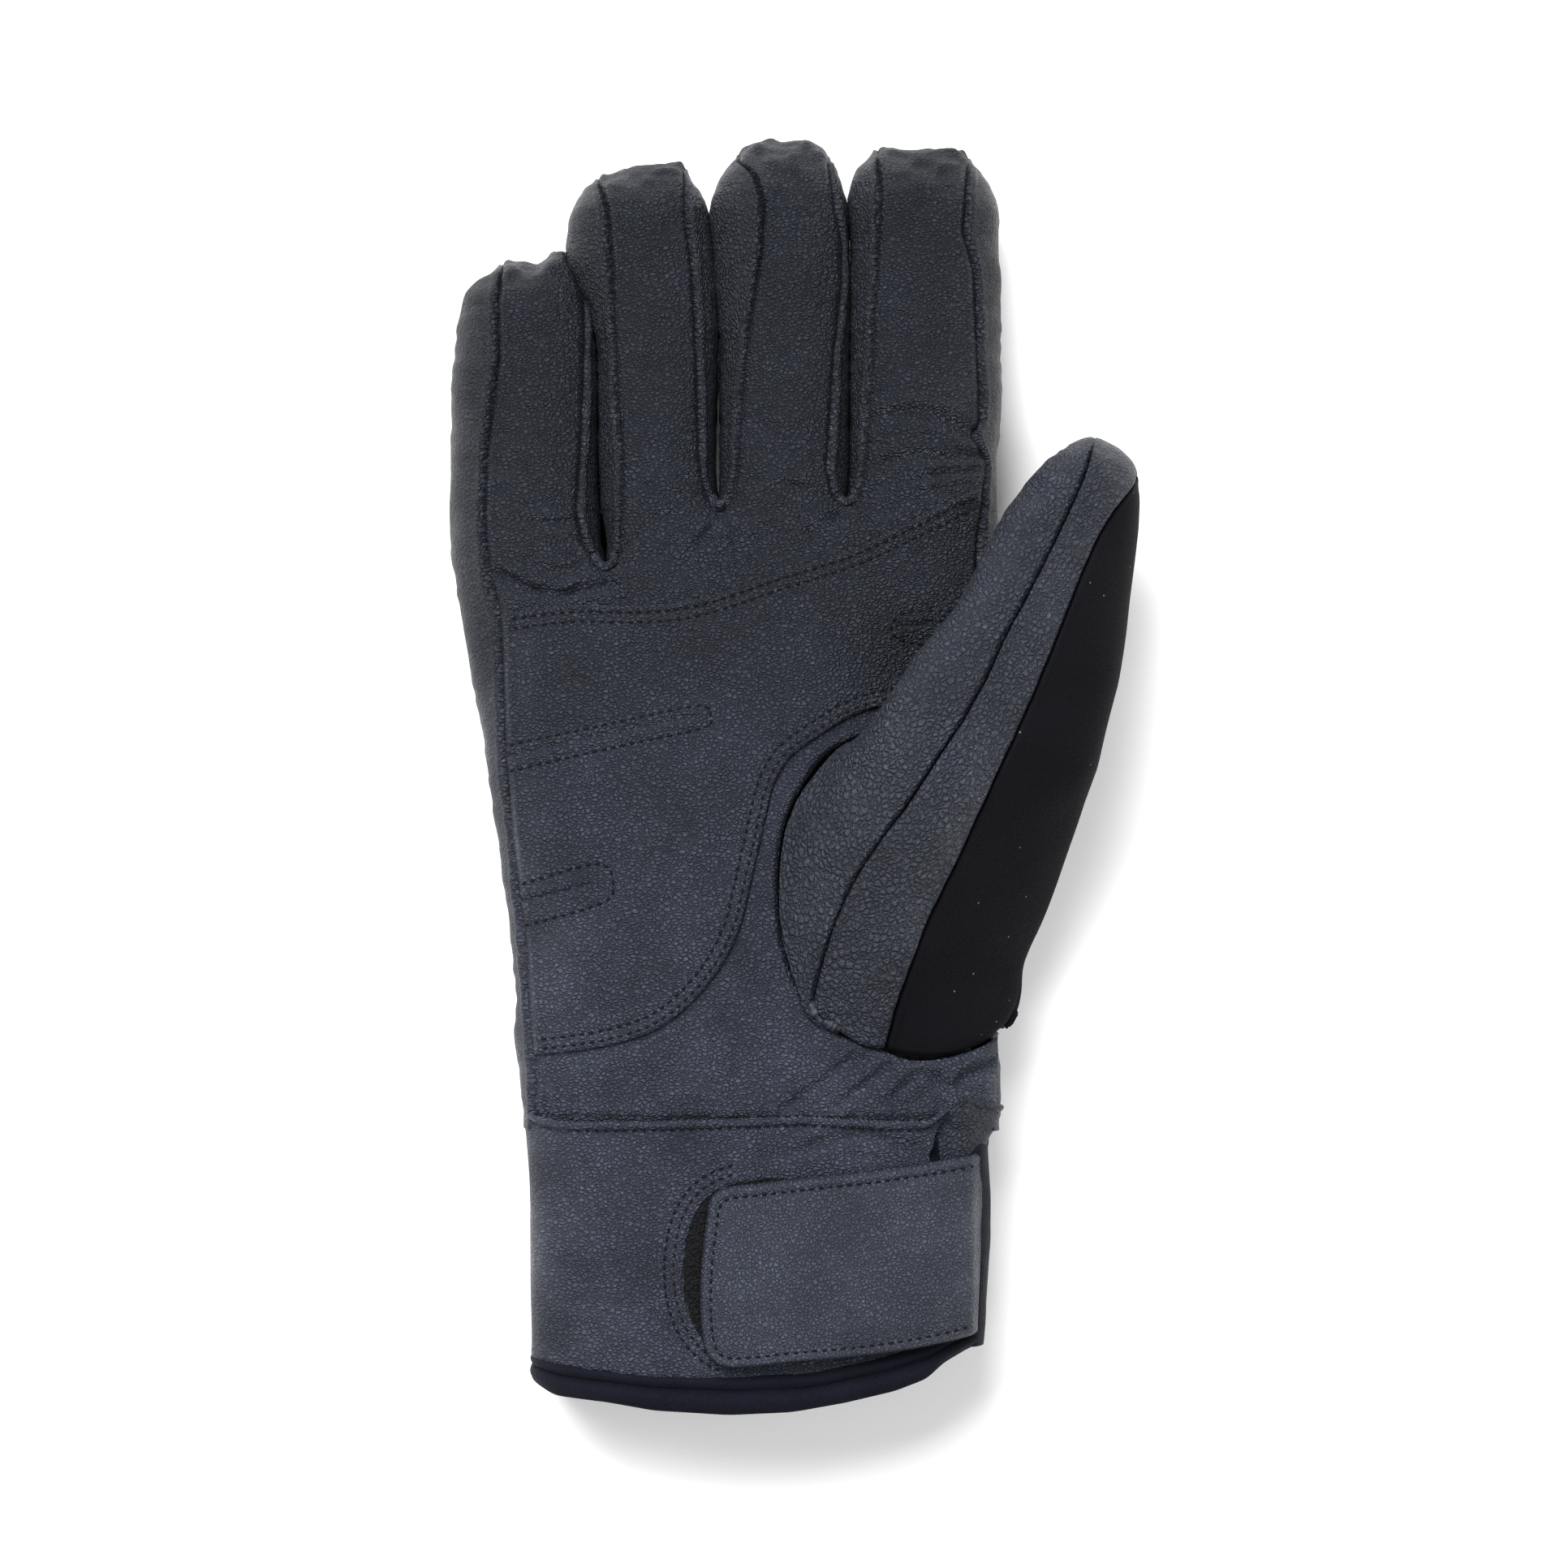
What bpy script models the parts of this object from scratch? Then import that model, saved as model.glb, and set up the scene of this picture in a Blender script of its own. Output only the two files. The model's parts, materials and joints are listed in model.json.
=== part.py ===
"""Right-hand leather ski glove with a short cuff and a wrist strap, as separate panels and layers.

The glove lies on its back, palm up: +X towards the thumb, +Y towards the fingertips, +Z up.
Lengths in this file are millimetres until mesh_object() turns them into metres.
Each tube of the glove (hand, cuff, fingers, thumb) is a Tube: a rounded section between a left and
a right contour. Every panel is a stretch of a Tube's skin, and every layer is that skin at a depth.
"""
import math

import bmesh
import bpy
import numpy as np

MM = 0.001

# Layers, as depth below the outer skin and thickness
LEATHER = (0.0, 1.2)
INSULATION = (2.1, 1.8)
LINING = (4.8, 0.8)
GAP = 0.9            # between neighbouring panels along the skin
HINGE_GAP = 0.5      # between a moving piece and the hand, each side of the hinge line

# Heights of the glove lying on its back
HAND_MIDDLE, HAND_HALF = 15.9, 15.3
CUFF_MIDDLE, CUFF_HALF = 15.9, 15.2
FINGER_MIDDLE, FINGER_HALF = 14.2, 12.4
BACK_TOP = 1.2       # the flat back panels lie from z = 0 to here

# Hinge lines of the four fingers: just above the webs, at the palm-side surface
LITTLE_HINGE_Y, RING_HINGE_Y, LONG_HINGE_Y = 46.0, 57.0, 59.0
FINGER_PIVOT_Z = 31.6
WRIST_Y = -72.0      # the seam between hand and cuff
HEM_Y = -130.5       # the cuff's lower edge, where the binding starts

# The thumb points along THUMB_DIR from THUMB_ORIGIN, and turns about the line across it
THUMB_ORIGIN = (43.0, 8.3)
THUMB_DIR = (0.354, 0.935)
THUMB_PIVOT_Z = 51.6

# The strap turns about a line along Y at the thumb side of the cuff
STRAP_PIVOT = (41.2, 24.0)
STRAP_Y = (-122.0, -84.0)
STRAP_X = (-19.5, 38.6)

COLOURS = {
    "leather": ((0.060, 0.070, 0.088), 0.55),
    "strap_leather": ((0.065, 0.075, 0.093), 0.52),
    "stretch": ((0.006, 0.006, 0.010), 0.80),
    "softshell": ((0.012, 0.013, 0.018), 0.85),
    "insulation": ((0.62, 0.62, 0.58), 0.95),
    "lining": ((0.10, 0.10, 0.11), 0.95),
    "binding": ((0.006, 0.007, 0.014), 0.85),
    "elastic": ((0.03, 0.03, 0.03), 0.85),
    "loop_pile": ((0.010, 0.010, 0.012), 0.95),
    "hook_tape": ((0.016, 0.016, 0.018), 0.60),
}


def curve(points):
    """A function of the first coordinate, straight between the given (position, value) points."""
    at = [p[0] for p in points]
    values = [p[1] for p in points]
    return lambda s: float(np.interp(s, at, values))


def signed_power(value, power):
    return math.copysign(abs(value) ** power, value)


class Tube:
    """A rounded tube along its own +y, between a left and a right contour, closed at a tip or open."""

    def __init__(self, left, right, middle, half, power, under=None, tip=None, tilt=0.0, frame=None):
        self.left, self.right = curve(left), curve(right)
        self.middle, self.half = curve(middle), curve(half)
        self.power, self.under = power, under or power
        self.tip, self.tilt = tip, tilt
        self.frame = frame or ((0.0, 0.0), (0.0, 1.0))

    def size(self, y, depth):
        """Centre, half width, middle height and half height of the section at y."""
        round_end = 1.0
        if self.tip:
            start = self.tip - self.half(self.tip)
            if y > start:
                share = (y - start) / (self.tip - depth - start)
                y = start + share * (self.tip - start)
                round_end = max(0.34, math.sqrt(max(0.0, 1.0 - share * share)))
        low, high = self.left(y) + depth, self.right(y) - depth
        return (low + high) / 2, (high - low) / 2, self.middle(y), (self.half(y) - depth) * round_end

    def point(self, y, angle, depth=0.0):
        centre, wide, middle, half = self.size(y, depth)
        power = self.power if math.sin(angle) >= 0 else self.under
        x = centre + wide * signed_power(math.cos(angle), 2 / power)
        z = middle + half * signed_power(math.sin(angle), 2 / power) - self.tilt * (x - centre)
        return self.place(x, y, z)

    def angle(self, y, x):
        """The angle, from 0 to pi, at which the palm side of the skin passes over x."""
        centre, wide, _, _ = self.size(y, 0.0)
        share = max(-0.999, min(0.999, (x - centre) / wide))
        return math.acos(signed_power(share, self.power / 2))

    def under_angle(self, y, x):
        """The angle, from -pi to 0, at which the back of the skin passes under x."""
        centre, wide, _, _ = self.size(y, 0.0)
        share = max(-0.999, min(0.999, (x - centre) / wide))
        return -math.acos(signed_power(share, self.under / 2))

    def inset(self, y, angle, gap):
        """The change of angle that moves a point of the section by the gap."""
        small = 0.01
        before, after = self.point(y, angle - small), self.point(y, angle + small)
        return gap * 2 * small / max(math.dist(before, after), 0.02)

    def place(self, x, y, z):
        (ox, oy), (dx, dy) = self.frame
        return (ox + x * dy + y * dx, oy - x * dx + y * dy, z)

    def top(self, x, y):
        return self.point(y, self.angle(y, x))[2]


def mesh_object(name, colour, bm, parent=None):
    """Turn a bmesh in millimetres into a named object in metres, with its own material."""
    bmesh.ops.scale(bm, vec=(MM, MM, MM), verts=bm.verts)
    mesh = bpy.data.meshes.new(name)
    bm.to_mesh(mesh)
    bm.free()
    obj = bpy.data.objects.new(name, mesh)
    glove.objects.link(obj)
    rgb, rough = COLOURS[colour]
    material = bpy.data.materials.new(name)
    material.use_nodes = True
    shader = material.node_tree.nodes["Principled BSDF"]
    shader.inputs["Base Color"].default_value = (*rgb, 1.0)
    shader.inputs["Roughness"].default_value = rough
    mesh.materials.append(material)
    if parent:
        obj.parent = parent
        obj.location = [-value for value in parent.location]
    return obj


def thicken(obj, thickness, outward=False):
    solid = obj.modifiers.new("Thickness", "SOLIDIFY")
    solid.thickness = thickness * MM
    solid.offset = 1.0 if outward else -1.0
    solid.use_even_offset = True
    solid.use_quality_normals = True


def grid_mesh(rows, inside, ring=False, capped=False):
    """An open skin through rows of points, facing away from the point inside."""
    bm = bmesh.new()
    grid = [[bm.verts.new(p) for p in row] for row in rows]
    for low, high in zip(grid, grid[1:]):
        count = len(low)
        for i in range(count if ring else count - 1):
            j = (i + 1) % count
            bm.faces.new((low[i], low[j], high[j], high[i]))
    if capped:
        bm.faces.new(grid[-1])
    bm.normal_update()
    bmesh.ops.recalc_face_normals(bm, faces=bm.faces)
    facing = 0.0
    for face in bm.faces:
        offset = face.calc_center_median()
        facing += face.calc_area() * sum(n * (c - i) for n, c, i in zip(face.normal, offset, inside))
    if facing < 0:
        bmesh.ops.reverse_faces(bm, faces=bm.faces)
    return bm


def skin_panel(name, colour, tube, stations, first, last, layer=LEATHER, count=4, parent=None):
    """A strip of a tube's skin between the angles first(y) and last(y), at the given stations."""
    depth, thickness = layer
    rows = []
    for y in stations:
        start = first(y) + tube.inset(y, first(y), GAP / 2)
        end = last(y) - tube.inset(y, last(y), GAP / 2)
        angles = np.linspace(start, end, count)
        rows.append([tube.point(y, a, depth) for a in angles])
    middle = stations[len(stations) // 2]
    centre, _, height, _ = tube.size(middle, 0.0)
    obj = mesh_object(name, colour, grid_mesh(rows, tube.place(centre, middle, height)), parent)
    thicken(obj, thickness)
    return obj


def sleeve(name, colour, tube, stations, layer, capped, parent=None, count=12):
    """A whole round of a tube's skin, open at the start, and closed at the tip where capped."""
    depth, thickness = layer
    angles = np.linspace(0, 2 * math.pi, count, endpoint=False) + math.pi / count
    rows = [[tube.point(y, a, depth) for a in angles] for y in stations]
    middle = stations[len(stations) // 2]
    centre, _, height, _ = tube.size(middle, 0.0)
    bm = grid_mesh(rows, tube.place(centre, middle, height), ring=True, capped=capped)
    obj = mesh_object(name, colour, bm, parent)
    thicken(obj, thickness)
    return obj


def outline_panel(name, colour, outline, height, thickness, parent=None, step=11.0, up=True):
    """A panel cut to an outline and laid over the surface height(x, y)."""
    bm = bmesh.new()
    bm.faces.new([bm.verts.new((x, y, 0.0)) for x, y in outline])
    for axis in (0, 1):
        low = min(p[axis] for p in outline)
        high = max(p[axis] for p in outline)
        cuts = int((high - low) // step)
        for k in range(1, cuts + 1):
            spot = [0.0, 0.0, 0.0]
            normal = [0.0, 0.0, 0.0]
            spot[axis] = low + k * (high - low) / (cuts + 1)
            normal[axis] = 1.0
            geometry = bm.verts[:] + bm.edges[:] + bm.faces[:]
            bmesh.ops.bisect_plane(bm, geom=geometry, plane_co=spot, plane_no=normal)
    bmesh.ops.triangulate(bm, faces=bm.faces)
    bm.normal_update()
    if (bm.faces[0:1] and sum(f.normal.z for f in bm.faces) < 0) == up:
        bmesh.ops.reverse_faces(bm, faces=bm.faces)
    for vert in bm.verts:
        vert.co.z = height(vert.co.x, vert.co.y)
    obj = mesh_object(name, colour, bm, parent)
    thicken(obj, thickness)
    return obj


def pivot(name, x, y, z):
    empty = bpy.data.objects.new(name, None)
    empty.location = (x * MM, y * MM, z * MM)
    glove.objects.link(empty)
    return empty


def cut(obj, cutter):
    boolean = obj.modifiers.new("Opening", "BOOLEAN")
    boolean.operation = "DIFFERENCE"
    boolean.object = cutter


def steps(start, end, count):
    return list(np.linspace(start, end, count))


# ---------------------------------------------------------------- the tubes

HAND = Tube(
    left=[(-72, -57.5), (-57, -59.0), (-30, -60.5), (9, -66.3), (30, -70.3), (46, -72.6), (60, -73.0)],
    right=[(-72, 43.5), (-40, 42.6), (8, 43.2), (60, 43.4)],
    middle=[(0, HAND_MIDDLE)], half=[(0, HAND_HALF)], power=3.4, under=6.0,
)
CUFF = Tube(
    left=[(-140, -55.4), (-124, -55.8), (-93, -56.0), (-72, -58.0)],
    right=[(-140, 37.5), (-121, 39.6), (-99, 41.4), (-72, 42.8)],
    middle=[(0, CUFF_MIDDLE)], half=[(0, CUFF_HALF)], power=3.4, under=6.0,
)


def finger(tip, left, right):
    return Tube(left, right, [(0, FINGER_MIDDLE)], [(0, FINGER_HALF)], power=2.7, tip=tip)


# name: hinge line, tube, the palm-side seams, and the names of the side walls
FINGERS = {
    "little": (
        LITTLE_HINGE_Y,
        finger(110.3, [(46, -72.6), (73, -73.5), (94, -71.9), (102, -70.0), (107, -66.8)],
               [(46, -42.7), (84, -43.2), (95, -44.0), (101, -45.9), (104, -47.4), (110, -49.5)]),
        curve([(46, -64.9), (66, -65.1), (88, -62.6), (105, -62.3)]),
        curve([(46, -45.0), (66, -45.4), (80, -44.9), (95, -45.6), (102, -48.0), (109, -50.5)]),
        ("little_outer_side", "little_inner_fourchette"),
    ),
    "ring": (
        RING_HINGE_Y,
        finger(130.2, [(57, -40.6), (88, -40.6), (100, -42.0), (111, -44.2), (118, -44.7), (124, -44.2), (129, -41.6)],
               [(57, -18.6), (112, -18.5), (118, -19.2), (129, -22.5)]),
        curve([(57, -36.4), (83, -37.8), (105, -38.7), (118, -39.4), (128, -40.2)]),
        curve([(57, -20.4), (86, -20.9), (106, -21.9), (117, -23.2), (127, -23.8)]),
        ("ring_outer_fourchette", "ring_inner_fourchette"),
    ),
    "middle": (
        LONG_HINGE_Y,
        finger(135.0, [(59, -18.0), (110, -18.0), (122, -17.3), (128, -15.3), (133, -11.8)],
               [(59, 10.6), (108, 10.9), (120, 10.5), (127, 8.9), (133, 6.9)]),
        curve([(59, -13.1), (80, -11.2), (94, -9.6), (109, -7.1), (120, -6.7), (132, -9.8)]),
        curve([(59, 7.8), (64, 7.0), (89, 8.5), (105, 9.4), (120, 8.3), (132, 4.6)]),
        ("middle_outer_fourchette", "middle_inner_fourchette"),
    ),
    "index": (
        LONG_HINGE_Y,
        finger(133.2, [(59, 11.4), (110, 11.5), (123, 11.9), (129, 13.2), (132, 15.3)],
               [(59, 43.2), (76, 43.6), (107, 43.4), (120, 43.0), (127, 40.4), (132, 37.8)]),
        curve([(59, 13.8), (80, 15.7), (95, 16.6), (111, 17.6), (132, 17.8)]),
        curve([(59, 39.8), (73, 39.1), (95, 38.5), (107, 37.6), (114, 36.0), (132, 36.0)]),
        ("index_outer_fourchette", "index_inner_side"),
    ),
}

THUMB = Tube(
    left=[(0, -24.0), (7.5, -22.1), (21, -17.8), (43, -15.2), (52, -12.6), (61, -8.6), (66, -6.0)],
    right=[(0, 21.7), (18.5, 19.7), (31, 17.2), (43.6, 14.2), (50.6, 12.5), (59.4, 9.8), (66, 7.0)],
    middle=[(0, 36.8), (25, 34.0), (45, 30.5), (66, 28.5)],
    half=[(0, 11.3), (25, 11.8), (45, 11.0), (66, 10.5)],
    power=2.5, tip=66.9, tilt=0.28, frame=(THUMB_ORIGIN, THUMB_DIR),
)
THUMB_SEAM_A = curve([(0, -8.7), (8, -7.6), (19, -6.9), (36, -4.4), (54, -2.9), (66, -3.4)])
THUMB_SEAM_B = curve([(0, 2.7), (17, 3.5), (34, 4.0), (46, 4.5), (60, 6.6), (66, 5.2)])


# ---------------------------------------------------------------- fingers and thumb

def wrapped_front(name, tube, hinge, seam_low, seam_high, wrap, parent):
    """The palm-side strip of a finger, carried over the fingertip to the back."""
    along = steps(hinge + HINGE_GAP, tube.tip - 14.0, 5) + steps(tube.tip - 9.0, tube.tip, 5)
    depth, thickness = LEATHER

    def row(y, side):
        first = tube.angle(y, seam_high(y))
        first += tube.inset(y, first, GAP / 2)
        last = tube.angle(y, seam_low(y))
        last -= tube.inset(y, last, GAP / 2)
        return [tube.point(y, side * a, depth) for a in np.linspace(first, last, 5)]

    rows = [row(y, 1) for y in along]
    rows += [row(y, -1) for y in reversed(steps(tube.tip - wrap, tube.tip, 4))]
    middle = along[4]
    centre, _, height, _ = tube.size(middle, 0.0)
    obj = mesh_object(name, "leather", grid_mesh(rows, tube.place(centre, middle, height)), parent)
    thicken(obj, thickness)


def make_finger(name, hinge, tube, seam_low, seam_high, side_names, parent):
    wrap = 7.0
    wrapped_front(f"{name}_front_panel", tube, hinge, seam_low, seam_high, wrap, parent)
    along = steps(hinge + HINGE_GAP, tube.tip - 14.0, 5) + steps(tube.tip - 9.5, tube.tip, 4)

    def low(y):
        return tube.angle(y, seam_low(y))

    def high(y):
        return tube.angle(y, seam_high(y))

    skin_panel(side_names[0], "leather", tube, along, low, lambda y: 2 * math.pi - low(y),
               count=6, parent=parent)
    skin_panel(side_names[1], "leather", tube, along, lambda y: -high(y), high,
               count=6, parent=parent)
    short = steps(hinge + HINGE_GAP, tube.tip - 14.0, 5) + [tube.tip - wrap - 0.6]
    skin_panel(f"{name}_back_panel", "softshell", tube, short, lambda y: 2 * math.pi - low(y),
               lambda y: 2 * math.pi - high(y), count=5, parent=parent)
    for layer, word in ((INSULATION, "insulation"), (LINING, "lining")):
        end = tube.tip - layer[0]
        stations = steps(hinge + HINGE_GAP, tube.tip - 14.0, 4) + steps(end - 6.0, end, 3)
        sleeve(f"{name}_{word}", word, tube, stations, layer, True, parent)


def make_thumb(parent):
    along = steps(HINGE_GAP, 48.0, 6) + steps(56.0, THUMB.tip, 4)

    def seam_a(y):
        return THUMB.angle(y, THUMB_SEAM_A(y))

    def seam_b(y):
        return THUMB.angle(y, THUMB_SEAM_B(y))

    def under(y):
        return 1.42 * math.pi

    wrapped_front("thumb_top_strip", THUMB, 0.0, THUMB_SEAM_A, THUMB_SEAM_B, 5.0, parent)
    short = [y for y in along if y < THUMB.tip - 6.0] + [THUMB.tip - 5.6]
    skin_panel("thumb_front_panel", "leather", THUMB, along, seam_a, lambda y: math.pi * 1.16,
               count=6, parent=parent)
    skin_panel("thumb_inner_panel", "leather", THUMB, short, lambda y: math.pi * 1.16, under,
               count=4, parent=parent)
    skin_panel("thumb_stretch_panel", "stretch", THUMB, short, lambda y: under(y) - 2 * math.pi, seam_b,
               count=8, parent=parent)
    for layer, word in ((INSULATION, "insulation"), (LINING, "lining")):
        end = THUMB.tip - layer[0]
        stations = steps(HINGE_GAP, 50.0, 5) + steps(end - 6.0, end, 3)
        sleeve(f"thumb_{word}", word, THUMB, stations, layer, True, parent)


# ---------------------------------------------------------------- the base of the thumb, on the hand

# Guide lines from the wrist to the thumb's hinge line, as (x, y, z)
BASE_LEFT = [(3.9, -50.1, 31.6), (-1.3, -40.6, 31.9), (-3.5, -26.0, 32.1), (-2.2, -11.4, 32.2),
             (1.4, -3.2, 32.4), (6.8, 3.6, 33.4), (14.2, 8.6, 37.5), (20.4, 16.3, 43.4)]
BASE_SEAM_A = [(3.9, -50.1, 31.7), (6.8, -36.0, 36.5), (11.4, -24.2, 40.5), (16.9, -15.1, 44.0),
               (24.2, -5.1, 47.2), (34.7, 10.9, 50.0)]
BASE_SEAM_B = [(19.2, -57.0, 30.4), (23.3, -43.3, 36.0), (28.6, -29.7, 40.0), (34.1, -17.8, 43.0),
               (40.5, -3.2, 45.9), (45.3, 6.9, 46.9)]
BASE_RIGHT = [(44.2, -55.5, 16.5), (47.7, -42.4, 18.5), (52.4, -31.5, 21.5), (56.0, -22.4, 24.0),
              (59.2, -12.2, 27.0), (63.4, 0.2, 30.6)]
BASE_UNDER = [(42.4, -55.5, 8.0), (43.0, -42.0, 9.5), (43.6, -31.0, 11.5), (44.2, -20.0, 15.0),
              (44.8, -8.0, 19.5), (46.4, 6.4, 25.6)]


def resample(points, share):
    """A point at a share of a guide line's length."""
    points = np.array(points, float)
    lengths = np.concatenate([[0], np.cumsum(np.linalg.norm(np.diff(points, axis=0), axis=1))])
    return np.array([np.interp(share * lengths[-1], lengths, points[:, k]) for k in range(3)])


def base_point(along, across):
    """A point of the thumb base: across runs 0 left, 1 and 2 at the seams, 3 right, 4 under."""
    guides = [resample(g, along) for g in (BASE_LEFT, BASE_SEAM_A, BASE_SEAM_B, BASE_RIGHT, BASE_UNDER)]
    k = min(3, int(across))
    s = across - k
    before, after = guides[max(0, k - 1)], guides[min(4, k + 2)]
    start, end = guides[k], guides[k + 1]
    out_slope, in_slope = (end - before) / 2, (after - start) / 2
    return ((2 * s**3 - 3 * s**2 + 1) * start + (s**3 - 2 * s**2 + s) * out_slope
            + (3 * s**2 - 2 * s**3) * end + (s**3 - s**2) * in_slope)


def base_panel(name, colour, first, last, start=0.0, layer=LEATHER, count=4):
    depth, thickness = layer
    rows = []
    for along in steps(start, 1.0, 8):
        span = np.linalg.norm(base_point(along, last) - base_point(along, first))
        inset = GAP / 2 / max(span, 2.0) * (last - first)
        rows.append([base_point(along, a) for a in np.linspace(first + inset, last - inset, count)])
    obj = mesh_object(name, colour, grid_mesh(rows, (26.0, -25.0, 12.0)))
    if depth:
        sink = obj.modifiers.new("Depth", "DISPLACE")
        sink.mid_level = 0.0
        sink.strength = -depth * MM
    thicken(obj, thickness)


def make_thumb_base():
    base_panel("thumb_base_front", "leather", 0.0, 1.0, start=0.08)
    base_panel("thumb_base_strip", "leather", 1.0, 2.0)
    base_panel("thumb_base_stretch", "stretch", 2.0, 4.0, count=7)
    base_panel("thumb_base_insulation", "insulation", 0.25, 2.75, 0.12, (2.4, 1.8), 8)
    base_panel("thumb_base_lining", "lining", 0.35, 2.5, 0.18, (5.6, 0.8), 7)


# ---------------------------------------------------------------- hand

PALM_OUTLINE = [
    (-57.0, -71.6), (29.0, -71.6), (29.0, -61.0), (18.2, -59.4), (8.9, -55.0), (2.6, -50.0),
    (-2.0, -40.8), (-4.2, -26.0), (-2.9, -11.2), (0.8, -2.7), (6.4, 4.4), (15.0, 9.2),
    (38.0, 12.5), (39.2, 51.0), (39.4, LONG_HINGE_Y - HINGE_GAP), (-18.3, LONG_HINGE_Y - HINGE_GAP),
    (-18.7, RING_HINGE_Y - HINGE_GAP), (-41.0, RING_HINGE_Y - HINGE_GAP),
    (-41.6, LITTLE_HINGE_Y - HINGE_GAP), (-64.6, LITTLE_HINGE_Y - HINGE_GAP), (-62.0, 30.0),
    (-60.4, 2.2), (-57.8, -27.1), (-55.3, -60.5),
]
PATCH_OUTLINE = [
    (-60.0, 33.6), (-58.0, 8.0), (-56.0, -20.0), (-53.0, -59.0), (-41.4, -57.6), (-32.8, -55.3),
    (-20.7, -47.0), (-12.0, -34.0), (-7.6, -17.0), (-4.9, -2.8), (2.0, 6.4), (12.1, 12.4),
    (20.7, 15.2), (26.0, 17.0), (30.0, 26.0), (36.5, 37.0), (37.4, 58.0), (25.9, 53.4), (12.1, 46.8), (-3.4, 41.8),
    (-20.6, 36.4), (-32.8, 34.8),
]
BACK_EDGE_LEFT = curve([(-72, -49.5), (-30, -52.5), (9, -58.0), (46, -64.5)])
BACK_EDGE_RIGHT = curve([(-72, 35.5), (60, 35.5)])


def flat(height):
    return lambda x, y: height


def make_hand():
    outline_panel("palm_panel", "leather", PALM_OUTLINE, HAND.top, LEATHER[1])
    outline_panel("palm_patch", "leather", PATCH_OUTLINE, lambda x, y: HAND.top(x, y) + 1.6, 1.0)
    ys = steps(WRIST_Y + GAP, LITTLE_HINGE_Y - HINGE_GAP, 5)
    back = [(BACK_EDGE_LEFT(y), y) for y in ys]
    back += [(-41.6, LITTLE_HINGE_Y - HINGE_GAP), (-41.0, RING_HINGE_Y - HINGE_GAP),
             (-18.7, RING_HINGE_Y - HINGE_GAP), (-18.3, LONG_HINGE_Y - HINGE_GAP),
             (35.5, LONG_HINGE_Y - HINGE_GAP), (35.5, WRIST_Y + GAP)]
    outline_panel("back_panel", "softshell", back, flat(0.0), BACK_TOP, step=400.0, up=False)

    def palm_left(y):
        return HAND.angle(y, curve([(-72, -57.2), (-60, -55.7), (2, -60.8), (30, -62.4), (46, -65.0)])(y))

    def back_left(y):
        return 2 * math.pi + HAND.under_angle(y, BACK_EDGE_LEFT(y) - GAP)

    skin_panel("outer_side_panel", "leather", HAND, ys, palm_left, back_left, count=7)

    def back_right(y):
        return HAND.under_angle(y, BACK_EDGE_RIGHT(y) + GAP)

    def palm_right(y):
        return HAND.angle(y, 39.9)

    skin_panel("index_side_panel", "leather", HAND, steps(12.8, LONG_HINGE_Y - HINGE_GAP, 5),
               back_right, palm_right, count=7)

    def thumb_edge(y):
        height = curve([(-60, 5.5), (-42, 6.5), (-31, 8.5), (-20, 12.0), (-8, 16.5), (12.4, 23.0)])(y)
        share = (height - HAND_MIDDLE) / HAND_HALF
        return math.asin(signed_power(share, (HAND.power if share > 0 else HAND.under) / 2))

    skin_panel("thumb_side_panel", "leather", HAND, steps(-59.6, 12.4, 6), back_right, thumb_edge,
               count=5)
    skin_panel("wrist_side_panel", "leather", HAND, steps(WRIST_Y + GAP, -60.4, 3), back_right,
               lambda y: HAND.angle(y, 29.6), count=8)

    hole = [(-1.5, -53.0), (-6.5, -42.0), (-8.0, -26.0), (-6.5, -10.0), (-2.0, 1.0), (6.0, 9.0),
            (18.0, 14.5), (60.0, 14.5), (60.0, -59.0), (14.0, -59.0)]
    bm = bmesh.new()
    face = bm.faces.new([bm.verts.new((x, y, 11.0)) for x, y in hole])
    bmesh.ops.extrude_face_region(bm, geom=[face])
    bm.verts.ensure_lookup_table()
    for vert in bm.verts[len(hole):]:
        vert.co.z = 80.0
    bmesh.ops.recalc_face_normals(bm, faces=bm.faces)
    cutter = mesh_object("thumb_hole_cutter", "leather", bm)
    glove.objects.unlink(cutter)
    cutters.objects.link(cutter)
    cutter.hide_render = True
    cutter.display_type = "WIRE"
    liner_ys = steps(-64.0, LITTLE_HINGE_Y - HINGE_GAP, 6)
    for layer, word in ((INSULATION, "insulation"), (LINING, "lining")):
        cut(sleeve(f"hand_{word}", word, HAND, liner_ys, layer, False, count=18), cutter)


# ---------------------------------------------------------------- cuff and strap

def cuff_angle(x):
    return lambda y: CUFF.angle(y, x)


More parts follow.
